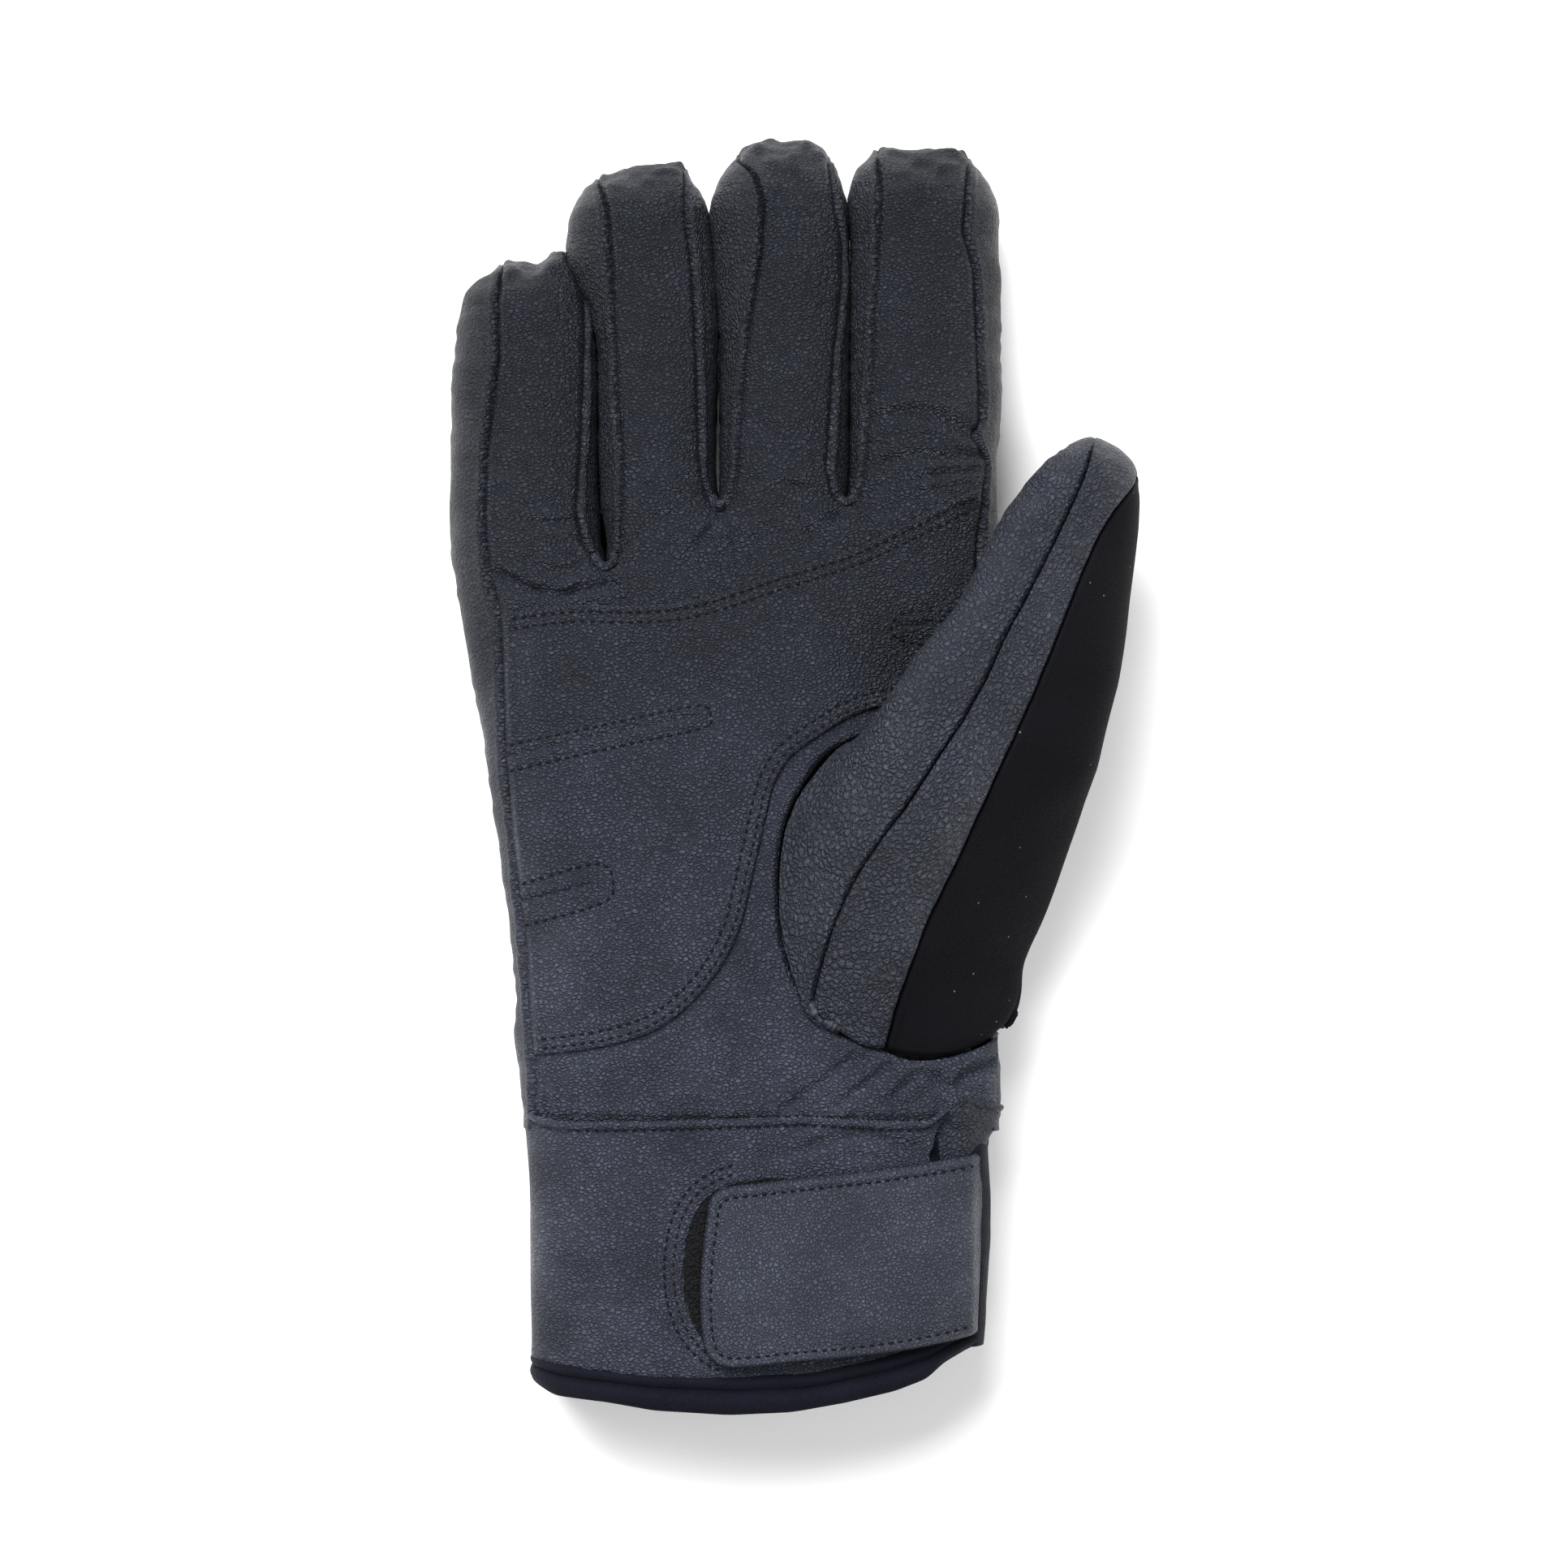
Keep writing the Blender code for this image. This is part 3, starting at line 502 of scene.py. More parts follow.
def colours(tree, factor, *stops):
    ramp = add_node(tree, "ValToRGB", Fac=factor)
    elements = ramp.color_ramp.elements
    while len(elements) < len(stops):
        elements.new(0.5)
    for element, (at, rgb) in zip(elements, stops):
        element.position = at
        element.color = (*rgb, 1.0)
    return ramp.outputs["Color"]


def surface(tree, shader, height, distance, strength=1.0):
    """Feed a height, in millimetres, to the shader's normal."""
    node = add_node(tree, "Bump", Height=height, Distance=distance * MM, Strength=strength)
    tree.links.new(node.outputs[0], shader.inputs["Normal"])


def leather(name, dark, light, cell=1.0, depth=0.3, rough=(0.36, 0.58), stretch=1.0, fade=None):
    """Pebbled leather: rounded cells with creases darkened by painted shade, pores, and slow changes of tone
    and polish.
    """
    material, tree, shader = new_material(name, specular=0.26)
    place = add_node(tree, "UVMap").outputs[0]
    drift = add_node(tree, "TexNoise", Vector=place, Scale=0.35, Detail=2.0)
    warp = add_node(tree, "VectorMath", {"operation": "MULTIPLY_ADD"}, _0=drift.outputs["Color"],
                    _1=(0.8, 0.8, 0.0), _2=place).outputs[0]
    warp = add_node(tree, "VectorMath", {"operation": "MULTIPLY"}, _0=warp, _1=(1.0, stretch, 1.0)).outputs[0]
    cells = add_node(tree, "TexVoronoi", {"feature": "DISTANCE_TO_EDGE"}, Vector=warp, Scale=1.0 / cell)
    small = add_node(tree, "TexVoronoi", {"feature": "DISTANCE_TO_EDGE"}, Vector=warp, Scale=2.1 / cell)
    grain = spread(tree, cells.outputs["Distance"], 0.0, 0.30, 0.0, 1.0)
    fine = spread(tree, small.outputs["Distance"], 0.0, 0.30, 0.0, 0.4)
    rough_noise = add_node(tree, "TexNoise", Vector=place, Scale=2.2, Detail=3.0, Roughness=0.6)
    pebbles = maths(tree, "ADD", grain, fine)
    total = maths(tree, "ADD", pebbles, maths(tree, "MULTIPLY", rough_noise.outputs["Fac"], 0.6))
    patches = add_node(tree, "TexNoise", Vector=place, Scale=0.055, Detail=5.0, Roughness=0.6)
    tone = maths(tree, "ADD", maths(tree, "MULTIPLY", patches.outputs["Fac"], 0.7),
                 maths(tree, "MULTIPLY", rough_noise.outputs["Fac"], 0.15))
    colour = colours(tree, tone, (0.30, dark), (0.62, light))
    # Painted shade: the colour is darkened in the creases between the pebbles, down to 0.42 of it at their
    # edges.
    shade = spread(tree, pebbles, 0.0, 1.02, 0.42, 1.03)
    if fade:
        along = add_node(tree, "SeparateXYZ", Vector=place).outputs[1]
        drifted = maths(tree, "ADD", along, maths(tree, "MULTIPLY", patches.outputs["Fac"], 20.0))
        shade = maths(tree, "MULTIPLY", shade,
                      spread(tree, drifted, fade[0] + 10.0, fade[1] + 10.0, 1.0, fade[2]))
    colour = add_node(tree, "VectorMath", {"operation": "SCALE"}, _0=colour, Scale=shade).outputs[0]
    tree.links.new(colour, shader.inputs["Base Color"])
    polish = maths(tree, "SUBTRACT", patches.outputs["Fac"], maths(tree, "MULTIPLY", grain, 0.06))
    tree.links.new(spread(tree, polish, 0.3, 0.65, rough[1], rough[0]), shader.inputs["Roughness"])
    surface(tree, shader, total, depth)
    return material


def woven(name, dark, light, across=0.5, along=0.5, depth=0.08, rough=0.8, sheen=0.2, specks=0.0):
    """A knitted or woven cloth: crossed ribs, loose fibres, and a few light specks of lint."""
    material, tree, shader = new_material(name, sheen=sheen, specular=0.12)
    place = add_node(tree, "UVMap").outputs[0]
    split = add_node(tree, "SeparateXYZ", Vector=place)
    weft = maths(tree, "SINE", maths(tree, "MULTIPLY", split.outputs[0], 2 * math.pi / across))
    warp = maths(tree, "SINE", maths(tree, "MULTIPLY", split.outputs[1], 2 * math.pi / along))
    fibres = add_node(tree, "TexNoise", Vector=place, Scale=2.6, Detail=5.0, Roughness=0.75)
    cloth = maths(tree, "ADD", maths(tree, "MULTIPLY", weft, 0.5), maths(tree, "MULTIPLY", warp, 0.35))
    total = maths(tree, "ADD", cloth, maths(tree, "MULTIPLY", fibres.outputs["Fac"], 1.6))
    patches = add_node(tree, "TexNoise", Vector=place, Scale=0.08, Detail=3.0)
    tone = maths(tree, "ADD", maths(tree, "MULTIPLY", total, 0.25),
                 maths(tree, "MULTIPLY", patches.outputs["Fac"], 0.6))
    stops = [(0.2, dark), (0.85, light)]
    colour = colours(tree, tone, *stops)
    if specks:
        dots = add_node(tree, "TexVoronoi", Vector=place, Scale=0.22)
        near = spread(tree, dots.outputs["Distance"], 0.03, 0.05, specks, 0.0)
        tone = maths(tree, "ADD", tone, near)
        colour = colours(tree, tone, *stops, (1.0, (0.12, 0.12, 0.13)))
    tree.links.new(colour, shader.inputs["Base Color"])
    tree.links.new(spread(tree, fibres.outputs["Fac"], 0.3, 0.7, rough - 0.1, min(1.0, rough + 0.1)),
                   shader.inputs["Roughness"])
    surface(tree, shader, total, depth)
    return material


def pile(name, dark, light, size=0.5, depth=0.5, rough=0.95, sheen=0.3):
    """Loops, hooks, fleece or wadding: packed tufts, their colour darkened in the gaps between them as
    painted shade.
    """
    material, tree, shader = new_material(name, sheen=sheen, specular=0.2)
    place = add_node(tree, "UVMap").outputs[0]
    tufts = add_node(tree, "TexVoronoi", Vector=place, Scale=1.0 / size)
    curls = add_node(tree, "TexNoise", Vector=place, Scale=2.2 / size, Detail=4.0, Roughness=0.7)
    height = maths(tree, "ADD", spread(tree, tufts.outputs["Distance"], 0.0, 0.8, 1.0, 0.0),
                   maths(tree, "MULTIPLY", curls.outputs["Fac"], 0.6))
    # Painted shade: the colour follows the tufts' height, so the gaps between them are darker.
    tree.links.new(colours(tree, height, (0.25, dark), (1.0, light)), shader.inputs["Base Color"])
    tree.links.new(spread(tree, height, 0.2, 1.2, rough, rough - 0.15), shader.inputs["Roughness"])
    surface(tree, shader, height, depth)
    return material


FADE = (-55.0, 80.0, 0.42)          # the leather darkens from the wrist to the fingers
LEATHER = leather("leather_palm", (0.034, 0.039, 0.058), (0.088, 0.099, 0.138), 1.08, 0.62, stretch=1.45,
                  fade=FADE)
PATCH_LEATHER = leather("leather_patch", (0.033, 0.038, 0.055), (0.088, 0.098, 0.136), 1.1, 0.68,
                        stretch=1.45, fade=FADE)
SIDE_LEATHER = leather("leather_side", (0.024, 0.027, 0.041), (0.052, 0.059, 0.084), 1.0, 0.35, fade=FADE)
THUMB_LEATHER = leather("leather_thumb", (0.020, 0.023, 0.034), (0.044, 0.050, 0.069), 1.15, 0.42)
STRAP_LEATHER = leather("leather_strap", (0.034, 0.039, 0.056), (0.064, 0.073, 0.101), 0.8, 0.3)
STRETCH = woven("stretch_knit", (0.0004, 0.0004, 0.0012), (0.0022, 0.0022, 0.0045), 0.5, 0.4, 0.06, 0.8,
                0.0, 0.9)
SOFTSHELL = woven("softshell", (0.004, 0.0045, 0.007), (0.014, 0.015, 0.020), 0.7, 0.5, 0.07, 0.82)
BINDING = woven("ribbed_binding", (0.0015, 0.0016, 0.004), (0.007, 0.008, 0.017), 0.55, 4.0, 0.22, 0.65, 0.0)
ELASTIC = woven("elastic", (0.01, 0.01, 0.011), (0.04, 0.04, 0.042), 1.0, 0.6, 0.15, 0.8)
LOOP = pile("loop_pile", (0.0005, 0.0005, 0.001), (0.010, 0.010, 0.012), 0.55, 0.5, sheen=0.0)
HOOKS = pile("hook_tape", (0.008, 0.008, 0.009), (0.05, 0.05, 0.055), 0.9, 0.6, 0.6)
FLEECE = pile("fleece_lining", (0.035, 0.035, 0.038), (0.11, 0.11, 0.115), 1.6, 0.5)
WADDING = pile("wadding", (0.010, 0.010, 0.013), (0.030, 0.030, 0.035), 3.0, 0.8)
THREAD = woven("thread", (0.002, 0.0018, 0.0025), (0.009, 0.008, 0.010), 0.3, 2.0, 0.05, 0.6, 0.0)
FLOOR = woven("pale_floor", (0.90, 0.90, 0.90), (0.94, 0.94, 0.94), 5.0, 5.0, 0.01, 0.9, 0.0)


# ---------------------------------------------------------------- fingers

def fold(d, depth, width):
    return 0.45 * depth * bump(d, 2.1 * width, width) - depth * bump(d, 0.0, width)


# Creases across the base of the index finger: a line, its depth and its half width
FINGER_FOLDS = [
    (Nearness(smooth_line([(16.5, 74.2), (22.0, 75.6), (29.0, 75.2), (37.2, 71.2)])), 0.9, 1.3),
    (Nearness(smooth_line([(17.0, 64.6), (24.0, 66.6), (32.0, 66.2), (40.0, 67.2)])), 0.8, 1.0),
    (Nearness(smooth_line([(24.0, 61.0), (32.0, 63.0), (40.5, 64.0)])), 0.6, 0.8),
    (Nearness(smooth_line([(-59.0, 53.5), (-52.0, 52.3), (-46.0, 53.0)])), 0.35, 0.8),
]


WEB_BOTTOMS = ((-40.1, 42.4), (-16.1, 55.0), (10.9, 56.4))


def web_fans(x, y):
    """Fine wrinkles that spread out from the bottoms of the slots between the fingers."""
    z = 0.0
    for number, (a, b) in enumerate(WEB_BOTTOMS):
        reach = np.hypot(x - a, y - b)
        turn = np.arctan2(y - b, x - a)
        z = z + 1.1 * noise(turn * 7.5, reach / 15, 55 + number) * np.exp(-((reach - 6.5) / 6.5) ** 2)
    return z


def wrinkles(x, y, seed, across=7.0, along=1.7):
    """Fine folds lying across a finger."""
    return noise(x / across, y / along + 0.4 * noise(x / 5, y / 9, seed + 1), seed)


def front_relief(f, x, y, d0, d1):
    """How far the palm side of a finger stands off its tube."""
    t = np.clip(d0 / np.maximum(d0 + d1, 1e-6), 0, 1)
    puff = 0.7 * (4 * t * (1 - t)) ** 0.5
    folds = 0.25 * wrinkles(x, y, 11) + 0.5 * noise(x / 11, y / 13, 12)
    base = smoothstep(y, f.split + 16, f.split)
    folds += base * 0.45 * wrinkles(x, y, 13, 9.0, 1.6)
    near_tip = smoothstep(y, f.tip - 14, f.tip - 2)
    folds += near_tip * 0.75 * noise(x / 2.6, y / 3.4, 14)
    for near, depth, width in FINGER_FOLDS:
        folds += fold(near(x, y), 1.5 * depth, width)
    folds += web_fans(x, y)
    curl = 1.6 - 1.0 * smoothstep(y, f.tip - 5, f.tip)
    return puff + folds + sewn_edge(d0, curl, 0.3, 0.42) + sewn_edge(d1, curl, 0.3, 0.42)


def finger_height(f, x, y):
    """Height of the palm side of a finger before its tip."""
    _, _, middle, half = f.section(y)
    out = front_relief(f, x, y, x - f.seam_low(y), f.seam_high(y) - x)
    return middle + (half + out) * np.maximum(f.crown(x, y), 0.5)


def finger_columns(f):
    wide = float(f.seam_high(f.split) - f.seam_low(f.split))
    return columns(int(wide / STEP * 1.25) + 8)


def finger_front(name, f):
    wrap = 2.55
    s = np.concatenate([np.arange(f.split, f.start, STEP * 0.9),
                        f.start + f.reach * np.linspace(0, wrap, 60)])
    y, turn = f.along(s)
    flat_y = np.minimum(y, f.tip)
    low, high = f.seam_low(flat_y)[:, None], f.seam_high(flat_y)[:, None]
    x = low + (high - low) * finger_columns(f)
    s, turn, flat_y = s[:, None], turn[:, None], flat_y[:, None]
    out = front_relief(f, x, s, x - low, high - x)
    _, _, middle, half = f.section(flat_y)
    z = middle + (half + out) * np.maximum(f.crown(x, flat_y), 0.5) * np.cos(turn)
    along = np.where(turn > 0, f.start + (f.reach + out) * np.sin(turn), s)
    along = along + (f.tip_line(x) - f.tip) * np.sin(np.minimum(turn, math.pi)) ** 2
    points = np.stack([x, along, z], -1)
    uv = np.stack(np.broadcast_arrays(x, s), -1)
    return grid_object(name, points, (float(low.mean() + high.mean()) / 2, f.tip - 40, 14.0), LEATHER, uv=uv)


def tube_points(tube, stations, first, last, count, relief):
    """Points and texture coordinates of a tube's skin between the angles first(y) and last(y)."""
    s = np.asarray(stations, float)
    y = np.minimum(tube.along(s)[0], tube.tip)
    a0, a1 = first(y)[:, None], last(y)[:, None]
    angle = a0 + (a1 - a0) * columns(count)
    s = s[:, None]
    flat = tube.point(s, angle)
    d0, d1 = edge_distances(flat)
    ending = 1 - 0.9 * smoothstep(s, tube.tip - 4, tube.tip) if tube.tip < 1e5 else 1.0
    points = tube.point(s, angle, ending * relief(flat[..., 0], s + 0 * angle, flat[..., 2], d0, d1))
    uv = grid_uv(flat)
    uv[..., 1] = s
    return points, uv


def tube_panel(name, tube, stations, first, last, count, relief, material, thickness=0.9, into=None):
    """A strip of a tube's skin.

    into is for a strip that runs on into another tube. It holds that tube, the strip's first and last
    angle on it, and the place where the change starts.
    """
    points, uv = tube_points(tube, stations, first, last, count, relief)
    if into:
        other, other_first, other_last, start = into
        target, _ = tube_points(other, stations, other_first, other_last, count, relief)
        share = smoothstep(np.asarray(stations), start, other.split)[:, None, None]
        points = points + share * (target - points)
    middle = stations[len(stations) // 2]
    centre, _, height, _ = tube.section(min(middle, tube.tip))
    return grid_object(name, points, tube.place(centre, middle, height), material, thickness, uv=uv)


def side_relief(x, s, z, d0, d1):
    folds = 0.2 * noise(z / 6, s / 2.1, 21) + 0.3 * noise(z / 9, s / 8, 22)
    t = np.clip(d0 / np.maximum(d0 + d1, 1e-6), 0, 1)
    return 0.5 * (4 * t * (1 - t)) ** 0.5 + folds + sewn_edge(d0, 1.6, 0.4, 0.45) + sewn_edge(d1, 1.2)


def back_relief(x, s, z, d0, d1):
    return 0.25 * noise(x / 9, s / 7, 31) + sewn_edge(d0, 1.0, 0.2) + sewn_edge(d1, 1.0, 0.2) - 0.1


def liner_relief(x, s, z, d0, d1):
    return 0.35 * noise(x / 4, s / 4, 41)


def make_finger(name, f):
    tip_rows = f.start + f.reach * np.linspace(0, math.pi / 2, 36)

    def low(y):
        return f.angle(y, f.seam_low(y))

    def high(y):
        return f.angle(y, f.seam_high(y))

    front = without_rim(finger_front(name + "_front_leather", f))
    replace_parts(front, name + "_front_panel")
    pieces = [front]
    ranges = ((low, lambda y: 2 * math.pi - low(y)), (lambda y: high(y), lambda y: -high(y)))
    for node, foot, (first, last) in zip(f.side_nodes, f.feet, ranges):
        rows = np.concatenate([np.arange(foot, f.start, STEP * 1.1), tip_rows])
        side = without_rim(tube_panel(node + "_leather", f, rows, first, last, 34, side_relief, SIDE_LEATHER))
        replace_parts(side, node)
        pieces.append(side)
    short = np.concatenate([np.arange(f.split - 10, f.start, STEP * 1.6),
                            f.start + f.reach * np.linspace(0, 0.62, 5)])
    back = tube_panel(name + "_back_cloth", f, short, lambda y: 2 * math.pi - low(y),
                      lambda y: 2 * math.pi - high(y),
                      16, back_relief, SOFTSHELL)
    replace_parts(back, name + "_back_panel")
    pieces.append(back)
    for depth, word, material, thick in ((3.4, "insulation", WADDING, 1.6), (5.6, "lining", FLEECE, 0.8)):
        inner = liner(f"{name}_{word}_sleeve", f, f.split, depth, material, thick)
        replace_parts(inner, f"{name}_{word}")
        pieces.append(inner)
    for piece in pieces:
        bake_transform(piece)


def liner(name, tube, first, depth, material, thickness):
    """A layer inside a finger or the thumb, round the whole section and over the tip."""
    rows = np.concatenate([np.arange(first, tube.start, 4.0),
                           tube.start + tube.reach * np.linspace(0, 1.5, 6)])
    relief = (lambda x, s, z, d0, d1: liner_relief(x, s, z, d0, d1) - depth)
    piece = tube_panel(name, tube, rows, lambda y: 0 * y, lambda y: 0 * y + 2 * math.pi, 30, relief,
                       material, thickness)
    return piece


# ---------------------------------------------------------------- palm

def seam_end(name, high):
    f = FINGERS[name]
    seam = f.seam_high if high else f.seam_low
    return (float(seam(f.split)), f.split)


def palm_webs():
    """The edges of the palm between the fingers, from one finger's seam round to the next."""
    little, ring, middle = "little", "ring", "middle"
    low_points = (
        (little, ring,
         [(-43.9, 47.4), (-42.7, 44.8), (-41.4, 43.0), (-40.0, 42.4), (-38.5, 42.9), (-37.5, 44.4),
                        (-36.8, 48.0), (-36.4, 53.3)]),
        (ring, middle,
         [(-18.5, 58.6), (-17.5, 56.4), (-16.3, 55.0), (-15.1, 55.3), (-14.0, 56.6), (-13.3, 58.6)]),
        (middle, "index", [(7.9, 58.9), (9.1, 57.1), (10.7, 56.3), (12.3, 56.8), (13.3, 58.2)]),
    )
    return [smooth_line([seam_end(a, True)] + points + [seam_end(b, False)]) for a, b, points in low_points]


WEBS = palm_webs()
PALM_LEFT = smooth_line([(-55.2, -76.0), (-55.3, -60.5), (-58.1, -27.1), (-61.0, 2.2), (-62.0, 30.0),
                         (-64.0, 40.0),
                         seam_end("little", False)])
PALM_RIGHT = smooth_line([seam_end("index", True), (39.8, 57.6), (39.1, 51.3), (38.6, 45.6), (38.2, 30.0),
                          (38.5, 14.0)])
THUMB_SEAM = smooth_line([(38.5, 14.0), (30.0, 12.5), (20.7, 10.6), (15.1, 7.9), (6.8, 3.8), (1.4, -3.2),
                          (-2.2, -11.4),
                          (-3.5, -19.7), (-3.4, -30.5), (-1.3, -40.6), (3.4, -49.6), (8.9, -54.6),
                          (18.9, -58.7),
                          (24.2, -60.6), (31.4, -60.3), (38.8, -58.2), (42.9, -56.0)])
PALM_LOW_RIGHT = smooth_line([(42.9, -56.0), (42.9, -76.0)], 1.0)
PALM_LOW = smooth_line([(42.9, -76.0), (-55.2, -76.0)], 1.0)


def split_row(name):
    f = FINGERS[name]
    low, high = float(f.seam_low(f.split)), float(f.seam_high(f.split))
    x = low + (high - low) * finger_columns(f)
    return np.column_stack([x, np.full_like(x, f.split)])


def palm_outline():
    parts = [PALM_LEFT, split_row("little"), WEBS[0], split_row("ring"), WEBS[1], split_row("middle"),
             WEBS[2],
             split_row("index"), PALM_RIGHT, THUMB_SEAM, PALM_LOW_RIGHT, PALM_LOW]
    return np.vstack([part[:-1] for part in parts])


near_left = Nearness(PALM_LEFT)
near_webs = Nearness(WEBS[0]), Nearness(WEBS[1]), Nearness(WEBS[2])
near_right = Nearness(PALM_RIGHT)
near_thumb = Nearness(THUMB_SEAM)

WEB_X = (-40.5, -16.3, 10.8)

# Folds of the palm: a line, its depth and its half width
PALM_FOLDS = [
    (Nearness(smooth_line([(-62.5, 42.0), (-56.5, 38.8), (-50.0, 37.4), (-43.0, 39.0), (-38.0, 39.6)])),
     1.1, 1.0),
    (Nearness(smooth_line([(-61.5, 46.5), (-55.0, 43.2), (-48.5, 42.0), (-44.8, 43.4)])), 0.6, 0.9),
    (Nearness(smooth_line([(-58.0, 37.2), (-50.0, 39.8), (-44.0, 41.5)])), 0.4, 0.7),
    (Nearness(smooth_line([(7.5, 53.6), (14.0, 53.4), (22.0, 56.4), (31.0, 59.6), (39.5, 63.0)])), 0.9, 1.1),
    (Nearness(smooth_line([(9.5, 55.0), (7.0, 51.0), (7.6, 47.0)])), 0.5, 0.7),
    (Nearness(smooth_line([(12.5, 55.5), (16.0, 51.5), (17.0, 49.0)])), 0.4, 0.7),
    (Nearness(smooth_line([(-6.0, 60.0), (0.0, 56.0), (4.0, 50.0)])), 0.4, 0.9),
    (Nearness(smooth_line([(-16.5, 53.5), (-19.0, 48.0), (-19.5, 42.0)])), 0.3, 0.8),
    (Nearness(smooth_line([(-15.5, 53.5), (-13.0, 48.0), (-12.6, 43.0)])), 0.3, 0.8),
    (Nearness(smooth_line([(-2.0, -70.5), (6.0, -65.0), (12.0, -60.0)])), 0.6, 0.9),
    (Nearness(smooth_line([(9.0, -70.0), (15.0, -65.5), (20.0, -61.5)])), 0.7, 0.9),
    (Nearness(smooth_line([(19.0, -69.5), (24.0, -65.0), (27.0, -62.0)])), 0.7, 0.9),
    (Nearness(smooth_line([(28.0, -63.5), (33.0, -66.5), (36.0, -64.0), (42.0, -61.0)])), 1.0, 1.1),
]


def finger_share(x):
    """Which finger the palm runs into at x, as four weights that add up to one."""
    steps = [smoothstep(x, at - 2.4, at + 2.4) for at in WEB_X]
    return (1 - steps[0], steps[0] * (1 - steps[1]), steps[1] * (1 - steps[2]), steps[2])


def palm_base(x, y):
    """The hand's curve, with the hollow by the thumb and the tuck under the cuff's hem."""
    hollow = np.exp(-((x - 26) / 13) ** 2 - ((y - 21) / 12) ** 2)
    z = HAND.top(x, y) - 6.0 * hollow * smoothstep(y, 58, 40)
    z = z + smoothstep(y, -66, -55) * (1.1 * noise(x / 19, y / 17, 51) + 0.35 * noise(x / 7, y / 9, 57))
    return z - 1.6 * smoothstep(y, -71.3, -73.4)


def into_fingers(x, y, z):
    """The surface z of the hand, running into the fingers' own surface at their split lines."""
    for share, f in zip(finger_share(x), FINGERS.values()):
        into = share * smoothstep(y, f.split - 11, f.split)
        z = z + into * (finger_height(f, x, y) - z)
    return z


def palm_folds(x, y):
    z = 0.0
    for near, depth, width in PALM_FOLDS:
        z = z + fold(near(x, y), 1.5 * depth, width)
    wrist = smoothstep(y, -46, -64)
    z = z + 0.5 * wrist * noise(x / 1.5, y / 7, 52) * smoothstep(x, 44, 30)
    z = z + 0.2 * noise(x / 3.2, y / 2.6, 53) + web_fans(x, y)
    knuckles = smoothstep(y, 36, 46) * smoothstep(y, 61, 55)
    return z + 0.22 * knuckles * noise(x / 1.9, y / 3.0, 54)


def palm_seams(x, y):
    z = sewn_edge(near_left(x, y), 1.7) + sewn_edge(near_right(x, y), 1.7)
    z = z + sewn_edge(near_thumb(x, y), 1.8, 0.4)
    for near in near_webs:
        z = z + sewn_edge(near(x, y), 1.7, 0.35)
    return z


def palm_height(x, y):
    return into_fingers(x, y, palm_base(x, y) + palm_folds(x, y) + palm_seams(x, y))


PATCH_TOP = smooth_line([(39.3, 60.0), (36.0, 58.8), (25.9, 53.8), (12.1, 47.2), (-3.4, 42.2),
                         (-20.6, 36.6), (-32.8, 35.2),
                         (-47.0, 35.3), (-62.1, 33.6)])
PATCH_LOW = smooth_line([(-55.4, -60.0), (-41.4, -58.1), (-32.8, -55.8), (-27.1, -53.1), (-20.7, -47.7),
                         (-15.1, -40.5),
                         (-11.4, -32.8), (-9.3, -24.2), (-7.5, -16.3), (-6.1, -9.9), (-4.3, -2.8),
                         (-1.5, 2.2), (2.8, 5.8),
                         (12.1, 11.6), (20.7, 14.2), (28.0, 15.4), (37.6, 16.5)])
PATCH_LEFT = smooth_line([(-62.1, 33.6), (-61.4, 14.0), (-61.1, 2.2), (-58.2, -27.1), (-55.4, -60.0)])
PATCH_RIGHT = smooth_line([(37.6, 16.5), (38.1, 30.0), (38.5, 45.6), (39.0, 51.3), (39.3, 60.0)])

DARTS = (
    ([(-60.6, 3.7), (-40.0, 8.1), (-20.7, 12.1)],
     [(-60.6, 5.6), (-40.0, 9.9), (-20.0, 14.0), (-18.0, 11.6), (-18.9, 9.4), (-40.0, 4.8), (-60.6, 0.1)]),
    ([(-58.0, -27.1), (-43.1, -23.5)],
     [(-58.0, -23.7), (-41.4, -19.2), (-38.2, -23.3), (-40.2, -27.3), (-57.4, -32.5)]),
    ([(21.6, 30.9), (32.8, 31.9)],
     [(37.6, 34.2), (33.6, 34.1), (23.0, 33.6), (19.9, 30.4), (23.2, 27.6), (31.0, 27.1), (37.6, 27.0)]),
)
DART_SLITS = [even(slit, FINE) for slit, _ in DARTS]
DART_ROWS = [smooth_line(row) for _, row in DARTS]
near_slits = [Nearness(line) for line in DART_SLITS]


def offset_line(line, distance):
    """The line moved to its left by a distance."""
    tangent = np.gradient(line, axis=0)
    tangent /= np.maximum(np.linalg.norm(tangent, axis=1, keepdims=True), 1e-9)
    return line + np.stack([-tangent[:, 1], tangent[:, 0]], 1) * distance


def trimmed(line, start, end):
    """The line without a length at its start and its end."""
    lengths = np.concatenate([[0], np.cumsum(np.linalg.norm(np.diff(line, axis=0), axis=1))])
    return line[(lengths >= start) & (lengths <= lengths[-1] - end)]


PATCH_ROWS = [trimmed(offset_line(PATCH_TOP, 1.6), 2.0, 2.0), trimmed(offset_line(PATCH_TOP, 3.7), 2.0, 2.0),
              trimmed(offset_line(PATCH_LOW, 1.5), 2.0, 0.0),
              trimmed(offset_line(PATCH_LOW, 3.5), 2.0, 0.0)] + DART_ROWS
near_rows = [Nearness(line) for line in PATCH_ROWS]
near_patch_top, near_patch_low = Nearness(PATCH_TOP), Nearness(PATCH_LOW)


